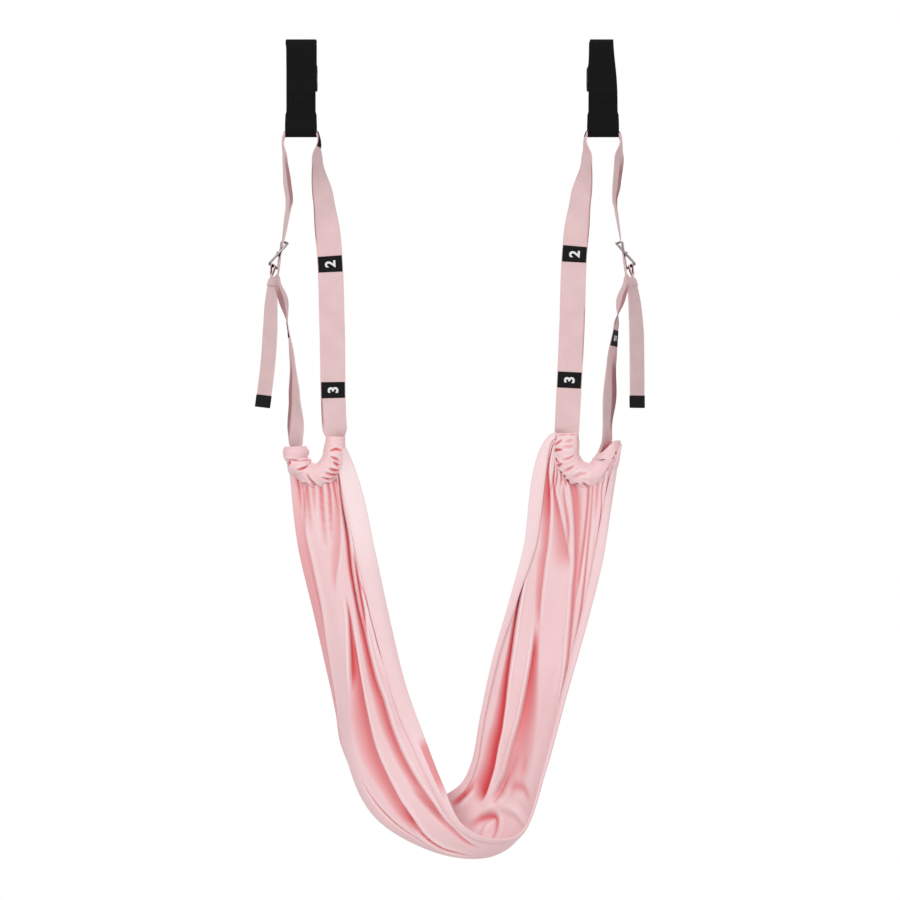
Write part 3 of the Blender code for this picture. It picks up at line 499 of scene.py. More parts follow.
# Parts of the webbing in shade: run (1 outer, 0 inner), z of its top and foot in mm, and from where to where it
# lies across the webbing (-1 to 1) at the top, then at the foot
SHADED = {
    "left": ((1, -160, -264, (-1.4, -.05), (-1.4, -.2)), (1, -348, -436, (-1.4, .15), (-1.4, .0)),
             (1, -466, -606, (-.1, .75), (.72, 1.3)),
             (0, -176, -305, (-1.4, -.84), (-1.4, -.84)), (0, -526, -582, (-1.4, -.80), (-1.4, -.80))),
    "right": ((1, -165, -270, (.05, 1.4), (.2, 1.4)), (1, -348, -440, (-1.4, -.2), (-1.4, -.35)),
              (1, -466, -594, (-.1, 1.3), (.5, 1.3)),
              (0, -176, -310, (-1.4, -.84), (-1.4, -.84)), (0, -390, -485, (-1.4, -.86), (-1.4, -.86))),
}
LABEL_MIDDLES = {"left": (.034, .223, .412, .601, .790), "right": (.019, .208, .397, .586, .775)}
# Shade on the inner (0) and outer (1) run: how far it fades along the run in mm, across it, and its depth
SHADE_FADE, SHADE_EDGE, SHADE_DEPTH = {0: 16, 1: 30}, 0.16, 0.8
# Height on the outer run, inside the casing, where the inner run's length ends and the lower outer run's begins, metres
CASING_JOIN_Z = -0.634


class Route:
    """Centre line, width direction and facing direction of a loop's webbing."""

    def __init__(self, side, sign):
        self.side, self.sign = side, sign
        rows = np.array(ROUTE_ROWS, float)
        for row, twist in TURNS[side]:
            rows[row, 2] = twist
        for row, x, z, width in MOVED[side]:
            rows[row, [0, 1, 3]] = x, z, width
        line, knots, self.at = curve_through(rows[:, :2], 0.003, closed=True)
        values = np.vstack([rows[:, 2:], rows[:1, 2:]])
        whole = np.minimum(knots.astype(int), len(rows) - 1)
        share = smoothstep(knots - whole)[:, None]
        twist, self.width, depth = (values[whole] * (1 - share) + values[whole + 1] * share).T
        self.bunch = np.maximum(depth - WEBBING_THICKNESS, 0) / 2
        ahead = np.gradient(line, axis=0)
        ahead[0] = ahead[-1] = line[1] - line[-2]
        self.centre, self.wide, self.face = mirrored(sign, *strap_frame(line, unit(ahead), twist))

    def shade(self):
        """Depth of shade for every point of the run."""
        z, outer = self.centre[:, 2:3] * 1000, self.at[:, None] > self.at[-1] / 2
        dark = np.zeros((len(z), len(ACROSS)))
        for run, high, low, top, foot in SHADED[self.side]:
            share = np.clip((z - low) / (high - low), 0, 1)
            a, b = (foot[k] + (top[k] - foot[k]) * share for k in (0, 1))
            along = smoothstep((high - z) / SHADE_FADE[run]) * smoothstep((z - low) / SHADE_FADE[run])
            between = smoothstep((ACROSS - a) / SHADE_EDGE) * smoothstep((b - ACROSS) / SHADE_EDGE)
            dark = np.maximum(dark, along * (outer == bool(run)) * between)
        return SHADE_DEPTH * dark

    def point(self, s, across, lift):
        """Points at a distance along the run, across it from its middle and off its face."""
        centre, wide, face = (read_at(s, self.at, v) for v in (self.centre, self.wide, self.face))
        return centre + wide * np.asarray(across)[..., None] + face * np.asarray(lift)[..., None]


def give(item):
    """A length of the outer run, with its placing baked into its points."""
    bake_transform(item)


def webbing_loop(route):
    """The loop in three lengths that meet inside the strap's loop, the casing and the adjuster."""
    shade, height = route.shade(), route.centre[:, 2]
    far = np.arange(len(height)) > len(height) / 2
    in_casing, in_adjuster = (int(np.argmax(far & (height > z))) for z in (CASING_JOIN_Z, BAR_MIDDLE[1]))
    for word, start, end in (("inner_run", 0, in_casing), ("outer_run_lower", in_casing, in_adjuster),
                             ("outer_run_upper", in_adjuster, len(height) - 1)):
        part = slice(start, end + 1)
        item = strip(f"{route.side}_webbing_{word}", route.centre[part], route.wide[part], route.face[part],
                     route.width[part], WEBBING_THICKNESS, PINK_WEBBING, bunch=route.bunch[part], shade=shade[part])
        if word == "inner_run":
            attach(item, route.side + "_loop")
        elif word == "outer_run_lower":
            give(item)
        else:
            give(item)
        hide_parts(route.side + "_webbing_loop")


def sew_to_run(item, route, number):
    """A label's piece goes with the run that it is sewn to: the fifth is on the outer run."""
    if number == 5:
        give(item)
    else:
        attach(item, route.side + "_loop")


def numeral(route, number, middle, lift):
    """A plain raised numeral that reads along the webbing."""
    bpy.ops.object.select_all(action="DESELECT")
    bpy.ops.object.text_add()
    text = bpy.context.object.data
    text.body, text.size, text.offset, text.extrude, text.resolution_u = str(number), 0.0212, 0.0006, 0.00012, 6
    text.align_x, text.align_y = "CENTER", "CENTER"
    bpy.ops.object.convert(target="MESH")
    item = bpy.context.object
    item.name = f"{route.side}_numeral_{number}"
    points = np.array([v.co for v in item.data.vertices], float)
    points[:, :2] -= (points[:, :2].max(0) + points[:, :2].min(0)) / 2
    laid = route.point(middle - points[:, 0], points[:, 1] * route.sign, lift + points[:, 2])
    item.data.vertices.foreach_set("co", laid.ravel())
    item.data.update()
    item.data.materials.append(LABEL_MARK)
    item.location = (0, 0, 0)
    facing_out(item.data)
    sew_to_run(item, route, number)


def size_label(route, number):
    """A black tape label, with its numeral where the webbing under it is flat."""
    middle = LABEL_MIDDLES[route.side][number - 1]
    s = np.linspace(middle - LABEL_LENGTH / 2, middle + LABEL_LENGTH / 2, 19)
    rim = np.interp(np.arange(19), [0, 1, 17, 18], [0.3, 1, 1, 0.3])
    lift = WEBBING_THICKNESS / 2 + LABEL_GAP + LABEL_THICKNESS / 2
    width, bunch = (np.interp(s, route.at, v)[:, None] for v in (route.width, route.bunch))
    across = LABEL_WIDTH * width / WEBBING_WIDTH / 2 * ACROSS
    along = np.repeat(s[:, None], len(ACROSS), 1)
    sheet = route.point(along, across, lift + bunch * BUNCHED)
    half = LABEL_THICKNESS / 2 * EDGE_FULL * rim[:, None]
    item = shell(f"{route.side}_label_{number}", sheet, half, LABEL, np.stack([along, across], axis=-1))
    sew_to_run(item, route, number)
    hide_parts(f"{route.side}_size_label_{number}")
    if (np.interp(middle, route.at, route.bunch) <= 0.0002
            and np.interp(middle, route.at, route.width) >= 0.9 * WEBBING_WIDTH):
        numeral(route, number, middle, lift + LABEL_THICKNESS / 2)


def label_sewing(route):
    """Black stitches round the edges of the flat labels."""
    path = edge_loop(LABEL_LENGTH / 2, LABEL_WIDTH / 2, 0.0016)
    top = WEBBING_THICKNESS / 2 + LABEL_GAP + LABEL_THICKNESS
    for number, middle in enumerate(LABEL_MIDDLES[route.side], 1):
        if 0.05 < middle < 0.47 or 0.65 < middle < 0.9:
            along = middle + path[:, 0]
            points = route.point(along, path[:, 1], np.full(len(path), top))
            item = stitches(f"{route.side}_label_sewing_{number}", points, read_at(along, route.at, route.face),
                            LABEL_STITCH, BLACK_THREAD)
            sew_to_run(item, route, number)


# ---------------------------------------------------------------- tails
TAIL_LINES = {
    "left": [(.26893, -.3364), (.2712, -.3862), (.2730, -.4362), (.2765, -.4860), (.2842, -.5470)],
    "right": [(.26893, -.3364), (.2735, -.3862), (.2768, -.4360), (.2775, -.4860), (.2778, -.5478)],
}
TAIL_TWIST = math.radians(38)
TAIL_TURNING = ((.012, 0), (.020, .45), (.034, .72), (.060, .88), (.100, 1.0))
TAIL_FOLD, TAIL_LENGTH = 0.030, 0.212
EYE_RADIUS = 0.0029
# Slant of the fold at the adjuster, and where the eye round the bar begins below it
TAIL_SLANT, TAIL_EYE = math.radians(9.5), 0.0145


def tail_frame(side, distance):
    """Centre, width direction and facing direction of the tail at distances below the bar."""
    fine, _, at = curve_through(TAIL_LINES[side], 0.002)
    at = at * (TAIL_LENGTH / at[-1])
    down = read_at(distance, at, unit(np.gradient(fine, axis=0)))
    down[distance < TAIL_FOLD] = (math.sin(TAIL_SLANT), -math.cos(TAIL_SLANT))
    twist = -TAIL_TWIST * np.interp(distance, *zip(*TAIL_TURNING))
    return mirrored(SIDES[side], *strap_frame(read_at(distance, at, fine), down, twist))


def tail(side, sign):
    """The loose tail, folded round the lowest bar and sewn back on itself."""
    bar, down = np.array(BAR_BOTTOM), np.array([math.sin(TAIL_SLANT), -math.cos(TAIL_SLANT)])
    out = np.array([-down[1], down[0]])
    layer = (WEBBING_THICKNESS + 0.0003) / 2
    start = bar + layer * out + down * TAIL_EYE
    eye = [bar + EYE_RADIUS * (math.cos(t) * out - math.sin(t) * down)
           for t in np.radians((200, 165, 130, 90, 50, 15, -20))]
    loop = in_plane(curve_through([start - out * layer] + eye + [start + out * layer], 0.0012)[0])
    loop = mirrored(sign, loop)[0]
    flat = np.tile((0.0, 1.0, 0.0), (len(loop), 1))
    centre, wide, face = tail_frame(side, np.arange(TAIL_EYE, TAIL_FOLD, 0.0015))
    far = np.arange(TAIL_FOLD, TAIL_LENGTH + 1e-6, 0.003)
    far_centre, far_wide, far_face = tail_frame(side, far)
    ease = layer * (1 - smoothstep((far - TAIL_FOLD) / 0.03))
    centre = np.vstack([(centre - face * layer)[:0:-1], loop, (centre + face * layer)[1:],
                        far_centre + far_face * ease[:, None]])
    face = np.vstack([face[:0:-1], np.zeros(loop.shape), face[1:], far_face])
    wide = unit(evened(np.vstack([wide[:0:-1], flat, wide[1:], far_wide]), 2))
    item = strip(side + "_tail_webbing", centre, wide, face, WEBBING_WIDTH, WEBBING_THICKNESS, PINK_WEBBING)
    hold(item, side + "_tail_end", "pink_webbing", side + "_tail")
    end_label(side)
    # bar tacks that hold the fold: distance below the bar, reach across, thread
    for number, (distance, reach, thread) in enumerate(((0.0165, 0.016, PINK_THREAD),
                                                        (0.0265, -0.002, BLACK_THREAD)), 1):
        zigzag = distance + 0.0012 * np.sign(np.sin(np.arange(60) * math.pi / 1.5))
        centre, wide, face = tail_frame(side, zigzag)
        rows = centre + wide * np.linspace(-0.016, reach, 60)[:, None] + face * (layer + WEBBING_THICKNESS / 2)
        sewn = stitches(f"{side}_tail_tack_{number}", rows, face, TACK_STITCH, thread)
        hold(sewn, side + "_tail_end", "pink_webbing")


def end_label(side):
    """The bare black label folded over the tail's end, stitched on both faces."""
    cover = WEBBING_THICKNESS / 2 + END_LABEL_LAYER
    s = np.linspace(TAIL_LENGTH - 0.0175, TAIL_LENGTH + 0.0012, 15)
    centre, wide, _ = tail_frame(side, np.minimum(s, TAIL_LENGTH))
    centre[:, 2] -= np.maximum(s - TAIL_LENGTH, 0)
    across = (WEBBING_WIDTH + END_LABEL_LAYER) / 2 * ACROSS
    sheet = centre[:, None] + wide[:, None] * across[:, None]
    rim = np.interp(np.arange(15), [0, 1, 13, 14], [0.85, 1, 1, 0.35])
    uv = np.stack([np.repeat(s[:, None], len(ACROSS), 1), np.repeat(across[None], 15, 0)], axis=-1)
    cap = shell(side + "_end_label", sheet, cover * EDGE_FULL * rim[:, None], LABEL, uv)
    hold(cap, side + "_tail_end", "label_tape", side + "_tail_label")
    path = edge_loop(0.0085, WEBBING_WIDTH / 2, 0.0017)
    centre, wide, face = tail_frame(side, TAIL_LENGTH - 0.0083 + path[:, 0])
    for outward, word in ((1, "front"), (-1, "back")):
        rows = centre + wide * path[:, 1:2] + face * outward * cover
        sewn = stitches(f"{side}_end_label_sewing_{word}", rows, face * outward, LABEL_STITCH, BLACK_THREAD)
        hold(sewn, side + "_tail_end", "label_tape")


# ---------------------------------------------------------------- door straps and stoppers
def round_points(y, z, radius, degrees):
    return [(y + radius * math.sin(t), z + radius * math.cos(t)) for t in np.radians(degrees)]


def door_strap(side, sign):
    """One band of webbing over the door: a loop in front and an eye behind."""
    front_in, front_out = HANG_Y + STRAP_LAYER / 2, HANG_Y - STRAP_LAYER / 2
    points = [(front_in, 0.0), (front_in, -0.05), (front_in, -0.100), (front_in + 0.0008, -0.1100)]
    points += round_points(HANG_Y, LOOP_Z, LOOP_RADIUS, range(40, 330, 20))
    points += [(front_out - 0.0008, -0.1100), (front_out, -0.100), (front_out, -0.05), (front_out, 0.0),
               (-0.02, 0.0024), (0.0, 0.0024), (0.02, 0.0024), (0.0224, 0.0), (0.0224, -0.012), (0.0226, -0.024)]
    points += round_points(ROLL_Y, ROLL_Z, ROLL_EYE_RADIUS, range(-25, 271, 20))
    points += [(0.0208, -0.02), (0.0208, 0.0), (0.02, 0.0008), (0.0, 0.0008), (-0.02, 0.0008)]
    line = curve_through(points, 0.0022, closed=True)[0][:-1]
    ahead = unit(np.roll(line, -1, axis=0) - np.roll(line, 1, axis=0))
    n, front, z = len(line), line[:, 0] < 0.0, line[:, 1]
    swell = 0.003 * smoothstep((-0.104 - z) / 0.006) * front
    if side == "right":  # it is drawn in at the top, more on its outer edge
        narrow = 0.009 * np.exp(-(z / 0.045) ** 2)
        x = sign * STRAP_X - 0.2 * narrow
    else:
        narrow = -0.0025 * np.exp(-(z / 0.007) ** 2) * front
        x = np.full(n, sign * STRAP_X)
    centre = np.stack([x, line[:, 0], z], axis=1)
    wide = np.tile((1.0, 0.0, 0.0), (n, 1))
    face = np.stack([np.zeros(n), ahead[:, 1], -ahead[:, 0]], axis=1)
    item = strip(side + "_strap_webbing", centre, wide, face, STRAP_WIDTH + swell - narrow, STRAP_LAYER * 0.94,
                 BLACK_WEBBING, closed=True)
    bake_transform(item)
    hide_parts(side + "_door_strap_top", side + "_door_strap_front")
    # the box with a cross that closes the loop
    a, low, high = 0.019, -0.103, -0.078
    corners = [(-a, low), (a, low), (a, high), (-a, high), (-a, low), (a, high), (a, low), (-a, high)]
    path = np.array([(sign * STRAP_X + x, front_out - STRAP_LAYER / 2, z) for x, z in walk(corners, 0.001)])
    sewn = stitches(side + "_strap_sewing", path, np.tile((0.0, -1.0, 0.0), (len(path), 1)), STRAP_STITCH,
                    BLACK_THREAD)
    hold(sewn, side + "_hanger", "door_strap_webbing")


def stopper(side):
    """A foam roll wound on a rod, behind the door."""
    low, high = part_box(side + "_stopper_foam")
    core_low, core_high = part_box(side + "_stopper_core")
    middle_y, middle_z, outer = (low.y + high.y) / 2, (low.z + high.z) / 2, (high.y - low.y) / 2
    bore, step, count = (core_high.y - core_low.y) / 2 + 0.0004, 0.0006, 72
    angles = np.linspace(0, 2 * math.pi, count, endpoint=False)
    spiral = step * (angles / (2 * math.pi) - 0.5)

    def ring(x, radius):
        return np.stack([np.full(count, x), middle_y + radius * np.cos(angles + 2.4),
                         middle_z + radius * np.sin(angles + 2.4)], axis=1)

    ends = np.array([0, 0.0008, 0.0025, 0.006])
    xs = np.concatenate([low.x + ends, np.linspace(low.x + 0.012, high.x - 0.012, 24), high.x - ends[::-1]])
    falls = np.interp(np.minimum(xs - low.x, high.x - xs), ends, [0.0028, 0.0012, 0.0003, 0])
    rings = [ring(x, outer - step / 2 - fall + spiral + 0.00025 * np.sin(5 * angles + 90 * x))
             for x, fall in zip(xs, falls)]
    rings += [ring(x, bore + flare) for x, flare in
              ((high.x - 0.0004, 0.0012), (high.x - 0.002, 0), ((high.x + low.x) / 2, 0), (low.x + 0.002, 0),
               (low.x + 0.0004, 0.0012))]
    item = ring_solid(side + "_foam_roll", np.array(rings), FOAM, closed=True)
    hold(item, "door_anchors", "stopper_foam", side + "_stopper_foam")
    materials = NODES[side + "_stopper_core"].data.materials
    materials.clear()
    materials.append(ROD)


# ---------------------------------------------------------------- adjusters
def adjuster(side, sign):
    """A bent-wire slide: a rounded frame and a bar across its middle, a little sprung out of flat."""
    half_wide, half_high, bend = WEBBING_WIDTH / 2 + 0.0016, 0.020, 0.0045
    bpy.ops.object.select_all(action="DESELECT")
    bpy.ops.mesh.primitive_torus_add(major_segments=96, minor_segments=14, major_radius=bend, minor_radius=WIRE)
    wire = bpy.context.object
    for vertex in wire.data.vertices:
        for axis, reach in ((0, half_wide - bend), (1, half_high - bend)):
            if abs(vertex.co[axis]) > 1e-5:
                vertex.co[axis] += math.copysign(reach, vertex.co[axis])
    bpy.ops.mesh.primitive_cylinder_add(vertices=14, radius=WIRE, depth=2 * half_wide, rotation=(0, math.pi / 2, 0))
    bar = bpy.context.object
    bpy.ops.object.mode_set(mode="EDIT")
    bpy.ops.mesh.select_all(action="SELECT")
    bpy.ops.mesh.subdivide(number_cuts=2)
    bpy.ops.object.mode_set(mode="OBJECT")
    bpy.ops.object.transform_apply(location=False, rotation=True, scale=False)
    wire.select_set(True)
    bar.select_set(True)
    bpy.context.view_layer.objects.active = wire
    bpy.ops.object.join()
    up, out = np.array(RUN_UP), np.array((RUN_UP[1], -RUN_UP[0]))
    middle = np.array(BAR_MIDDLE)
    slant = unit(np.array(BAR_TOP) - middle)
    side_out = np.array((slant[1], -slant[0]))
    x, y, z = np.array([v.co for v in wire.data.vertices], float).T
    turn = 0.30 * y / half_high
    flat = middle + y[:, None] * slant + (x * np.sin(turn) + z * np.cos(turn))[:, None] * side_out
    deep = x * np.cos(turn) - z * np.sin(turn)
    placed = np.stack([sign * flat[:, 0], HANG_Y + deep, flat[:, 1]], axis=1)
    wire.data.vertices.foreach_set("co", placed.ravel())
    wire.data.update()
    wire.name = side + "_slide_wire"
    wire.location = (0, 0, 0)
    facing_out(wire.data)
    wire.data.shade_smooth()
    wire.data.materials.append(STEEL)
    hold(wire, side + "_slide", "adjuster_steel", side + "_adjuster")
    # the end of the webbing, turned round the middle bar and sewn to the run
    lap = [middle + 0.0031 * (math.cos(t) * out - math.sin(t) * up) for t in np.radians(range(-100, 101, 20))]
    legs = [middle + up * d - out * 0.0012 for d in (0.0110, 0.0060, -0.0060, -0.0110)]
    line = curve_through(legs[:2] + lap + legs[2:], 0.0012)[0]
    wide = np.tile((0.0, 1.0, 0.0), (len(line), 1))
    bend = strip(side + "_sewn_bend", mirrored(sign, in_plane(line))[0], wide, wide, WEBBING_WIDTH - 0.001,
                 WEBBING_THICKNESS, PINK_WEBBING)
    hold(bend, side + "_slide", "pink_webbing")


# ---------------------------------------------------------------- sling
# Front hem, middle and rear hem of the cloth, in millimetres, from the left end to the right
SLING_ROWS = [
    ((-137, -22, -676), (-190, -22, -676), (-244, -22, -676)),
    ((-117, -28, -757), (-174, -35, -759), (-231, -22, -764)),
    ((-95, -39, -858), (-152, -52, -862), (-209, -24, -859)),
    ((-71, -57, -956), (-136, -66, -972), (-186, -24, -961)),
    ((-42, -79, -1035), (-130, -74, -1082), (-165, -26, -1046)),
    ((-14, -103, -1104), (-93, -82, -1166), (-128, -26, -1110)),
    ((14, -125, -1160), (-16, -84, -1212), (-50, -24, -1138)),
    ((60, -132, -1182), (55, -82, -1206), (5, -22, -1120)),
    ((108, -112, -1171), (92, -66, -1155), (30, -24, -1080)),
    ((139, -88, -1088), (105, -46, -1055), (44, -26, -1005)),
    ((170, -63, -980), (125, -33, -951), (62, -26, -921)),
    ((204, -44, -863), (148, -26, -849), (86, -25, -837)),
    ((228, -30, -767), (168, -24, -761), (108, -24, -754)),
    ((240, -24, -676), (183, -26, -676), (118, -24, -690)),
]
# Seam of the cloth on each casing, rear hem to front hem: share across, x, y, z in millimetres
LEFT_TOP = ((0, -243, -22, -638), (.15, -235, -28, -646), (.3, -218, -32, -655), (.5, -194, -34, -655),
            (.68, -181, -37, -645), (.82, -172, -36, -622), (1, -160, -29, -606))
RIGHT_TOP = ((0, 157, -24, -586), (.12, 154, -29, -599), (.22, 154, -29, -613), (.32, 156, -29, -630),
             (.42, 162, -26, -645), (.52, 173, -26, -660), (.66, 199, -34, -666), (.8, 227, -40, -652),
             (.88, 240, -43, -628), (.94, 249, -37, -611), (1, 252, -22, -600))
# Valleys between the rolls of cloth: side of the cloth (1 left leg, -1 right), strength of the painted shade in
# the valley and of the painted highlight beside it (or its knots of row, strength), depth mm, sharp edge (1 right,
# -1 left), and knots of row, left edge, right edge. The first one is the step beside the rear hem of the left leg.
VALLEYS = [
    (+1, ((0, .1), (.9, .42)), 3.5, +1, ((-.3, -.06, .30), (.27, -.06, .231), (.57, -.05, .156), (.82, -.04, .138),
     (1.15, -.03, .15), (1.75, -.03, .14), (2, -.03, .125), (2.34, -.03, .105), (2.98, -.03, .085),
     (3.4, -.03, .09), (4, -.03, .05))),
    (+1, .38, 3.0, +1, ((-.4, .72, .76), (.32, .613, .688), (.56, .544, .638), (.85, .475, .581), (1.18, .40, .506),
     (1.47, .344, .40), (1.8, .30, .33))),
    (+1, ((.3, .75), (1, 1), (2, .95), (3, .8), (4, .66), (5.2, .6)), 8.0, +1, ((-.6, .79, .81), (-.07, .76, .788),
     (.35, .69, .725), (.55, .67, .706), (.73, .66, .706), (1.03, .63, .681), (1.3, .60, .655), (1.6, .59, .64),
     (1.88, .585, .635), (2.2, .58, .66), (2.54, .59, .68), (2.86, .61, .71), (3.16, .65, .765), (3.5, .71, .80),
     (3.8, .765, .828), (4.15, .795, .85), (4.5, .825, .87), (4.8, .84, .885), (5.16, .86, .90), (5.7, .87, .905))),
    (+1, 1.0, 4.0, +1, ((.95, .69, .71), (1.2, .69, .728), (1.4, .68, .715), (1.68, .66, .705), (1.9, .66, .70),
     (2.1, .66, .69), (2.4, .66, .68))),
    (+1, .95, 6.0, -1, ((1.6, .50, .51), (1.98, .488, .525), (2.33, .444, .515), (2.7, .40, .51), (3.2, .37, .50))),
    (+1, ((2.2, .95), (2.8, .8), (3.6, .66), (4.8, .66), (5.2, .95)), 8.0, +1, ((2.0, .47, .50), (2.3, .44, .505),
     (2.7, .39, .51), (3.1, .35, .535), (3.4, .37, .585), (3.78, .45, .645), (4.12, .54, .685), (4.46, .60, .71),
     (4.86, .63, .725), (5.1, .65, .73), (5.5, .65, .70))),
    (+1, .75, 2.0, -1, ((1.3, .69, .71), (1.47, .71, .73), (1.68, .745, .76), (1.9, .775, .79), (2.15, .785, .80),
     (2.45, .80, .82), (2.7, .845, .86), (3, .885, .897), (3.3, .90, .91))),
    (+1, .55, 3.0, +1, ((4.4, .81, .835), (4.8, .83, .86), (5.3, .86, .895), (5.88, .89, .92), (6.3, .87, .90),
     (6.7, .86, .87))),
    (-1, 1, 8.0, +1, ((7.3, .06, .12), (7.58, .062, .15), (7.85, .056, .156), (8.12, .062, .158),
     (8.35, .075, .175), (8.65, .085, .19), (8.97, .115, .219), (9.35, .125, .213), (9.82, .122, .188),
     (10.22, .119, .169), (10.8, .088, .125), (11.2, .08, .10), (11.6, .07, .085))),
    (-1, ((7.6, .4), (8.9, .5), (9.5, .75), (10, .9)), 7.0, -1, ((7.6, .20, .22), (7.85, .231, .26),
     (8.12, .244, .34), (8.42, .30, .44), (8.6, .325, .506), (8.78, .352, .60), (9, .38, .665), (9.3, .41, .64),
     (9.6, .418, .605), (9.88, .416, .556), (10.1, .412, .52), (10.4, .396, .469), (10.8, .356, .41))),
    (-1, ((10.5, .5), (12.3, .6), (12.7, 1), (13.4, .9)), 4.0, +1, ((10.5, .38, .45), (10.8, .34, .39),
     (11.2, .269, .344), (11.75, .20, .30), (12.03, .206, .288), (12.3, .169, .269), (12.53, .126, .25),
     (12.78, .12, .206), (12.93, .12, .15), (13.4, .12, .14))),
    (-1, ((11.5, .45), (12.4, .6), (12.8, 1), (13.2, .9)), 3.5, +1, ((11.5, .40, .60), (11.8, .381, .594),
     (12.05, .363, .531), (12.35, .319, .431), (12.62, .275, .344), (12.8, .238, .262), (13.2, .22, .24))),
    (-1, .55, 2.5, +1, ((11.8, .55, .56), (12.22, .50, .531), (12.44, .45, .50), (12.66, .413, .44),
     (13.1, .39, .41))),
    (-1, .60, 5.0, -1, ((9.5, .96, .97), (10, .919, .94), (10.3, .881, .91), (10.65, .812, .855), (11, .76, .81),
     (11.43, .70, .76), (11.7, .681, .735), (12.22, .606, .681), (12.53, .556, .656), (13, .506, .62),
     (13.6, .49, .60))),
    (-1, .60, 3.0, +1, ((11.1, .75, .785), (11.5, .725, .765), (11.8, .70, .748), (12.1, .70, .735),
     (12.45, .688, .716), (13.3, .65, .675), (13.7, .64, .665))),
    (-1, .50, 3.0, +1, ((10.1, .94, .96), (10.72, .89, .915), (11.07, .86, .883), (11.35, .825, .85),
     (11.9, .775, .80), (12.3, .745, .772), (12.8, .715, .735), (13.3, .70, .72))),
    (-1, .45, 2.5, +1, ((11.9, .88, .90), (12.3, .875, .896), (12.5, .86, .878), (12.78, .81, .828),
     (13.3, .80, .82))),
]
# Short creases and ridges, with painted shade in a crease and a painted highlight beside it or along a ridge: side of
# the cloth, strength of the painted shade, depth mm (less than 0 is a ridge), width mm, knots of row, share
SHORT = [
    (+1, .8, 2.6, 3.0, ((-.7, .075), (.1, .07), (.8, .065), (1.2, .06))),
    (+1, .6, 2.2, 3.4, ((-.7, .16), (.0, .15), (.5, .145))),
    (+1, .75, 3.0, 3.6, ((-.7, .13), (.1, .14), (.6, .12))),
    (+1, .55, 2.6, 3.6, ((-.5, .22), (.3, .20), (.7, .17))),
    (+1, .70, 3.0, 4.0, ((-.7, .30), (.1, .27), (.75, .22))),
    (+1, .50, 2.4, 3.6, ((-.7, .38), (.1, .36), (.55, .31))),
    (+1, .70, 3.2, 4.4, ((-.7, .48), (.2, .45), (.95, .37))),
    (+1, .75, 3.0, 4.0, ((-.7, .60), (.2, .57), (.9, .47))),
    (+1, .85, 2.6, 3.2, ((-.7, .68), (.1, .655), (.6, .63))),
    (+1, .95, 2.6, 3.0, ((-.7, .74), (-.2, .725), (.2, .70))),
    (+1, .95, 4.0, 3.4, ((4.8, .73), (5.1, .722), (5.36, .70), (5.6, .692), (5.85, .70), (6.1, .735), (6.4, .75))),
    (+1, .90, 2.5, 2.6, ((4.2, .42), (4.6, .50), (4.84, .545), (5.2, .595), (5.6, .64))),
    (-1, .85, 4.5, 4.5, ((6.86, .21), (7.10, .21), (7.28, .22), (7.50, .26), (7.62, .30), (7.60, .34), (7.40, .38),
     (7.1, .42))),
    (-1, .0, -4.5, 5.0, ((7.05, .33), (7.25, .30), (7.42, .31))),
    (-1, .95, 2.5, 3.6, ((6.7, .055), (6.8, .055), (7.1, .05), (7.4, .055), (7.8, .06))),
    (-1, .0, -3.5, 3.6, ((6.75, .09), (6.9, .09), (7.28, .075), (7.78, .11))),
    (-1, .0, -4.0, 5.0, ((6.86, .18), (7.32, .20), (7.68, .235), (8.16, .30), (8.5, .37))),
    (-1, .70, 3.5, 4.0, ((8.8, .42), (8.5, .345), (8.25, .30), (8.0, .27), (7.75, .245))),
    (-1, .0, -5.0, 6.0, ((7.85, .30), (8.02, .42), (8.1, .52), (8.10, .64), (8.04, .90))),
    (-1, .60, 2.5, 8.0, ((8.25, .36), (8.42, .45), (8.5, .56), (8.45, .74))),
    (-1, .45, 1.0, 12.0, ((9.1, .50), (8.9, .55), (8.7, .54), (8.5, .50))),
    (-1, .85, 2.4, 2.8, ((13.6, .26), (12.95, .25), (12.7, .235))),
    (-1, .80, 2.4, 3.0, ((13.6, .34), (12.95, .31), (12.7, .28))),
    (-1, .85, 2.4, 2.8, ((13.6, .42), (13.1, .40), (12.85, .37))),
    (-1, .85, 2.2, 2.6, ((13.6, .47), (13.1, .46), (12.9, .44))),
    (-1, .60, 2.4, 3.2, ((13.6, .56), (12.9, .555), (12.4, .60))),
    (-1, .55, 2.2, 3.0, ((13.6, .76), (12.9, .77), (12.4, .81))),
    (-1, .50, 2.2, 3.4, ((13.6, .88), (12.9, .90), (12.2, .93))),
]
# Seen width of the hems along the cloth, metres
FRONT_BAND = ((-.8, .020), (.3, .026), (1, .030), (2, .029), (3, .022), (4, .014), (5, .011), (6, .009), (8, .009),
              (10, .010), (12, .014), (13.8, .016))
REAR_BAND = ((-.8, .012), (.3, .012), (1, .013), (2, .014), (3, .010), (5, .008), (9, .006), (10.3, .007), (11.2, .012),
             (12, .018), (13.8, .020))
# Painted highlight along the hems: row, share
FRONT_HEM_HIGHLIGHT = ((-.5, .5), (.2, 1), (.8, .9), (1.4, .45), (3, .3), (5, .3), (8, 0), (13, .3))
REAR_HEM_HIGHLIGHT = ((0, 0), (10.5, .1), (11.5, .5), (13, .6))
# Place of the hem's seam, share across it
HEM_SEAM = 0.86


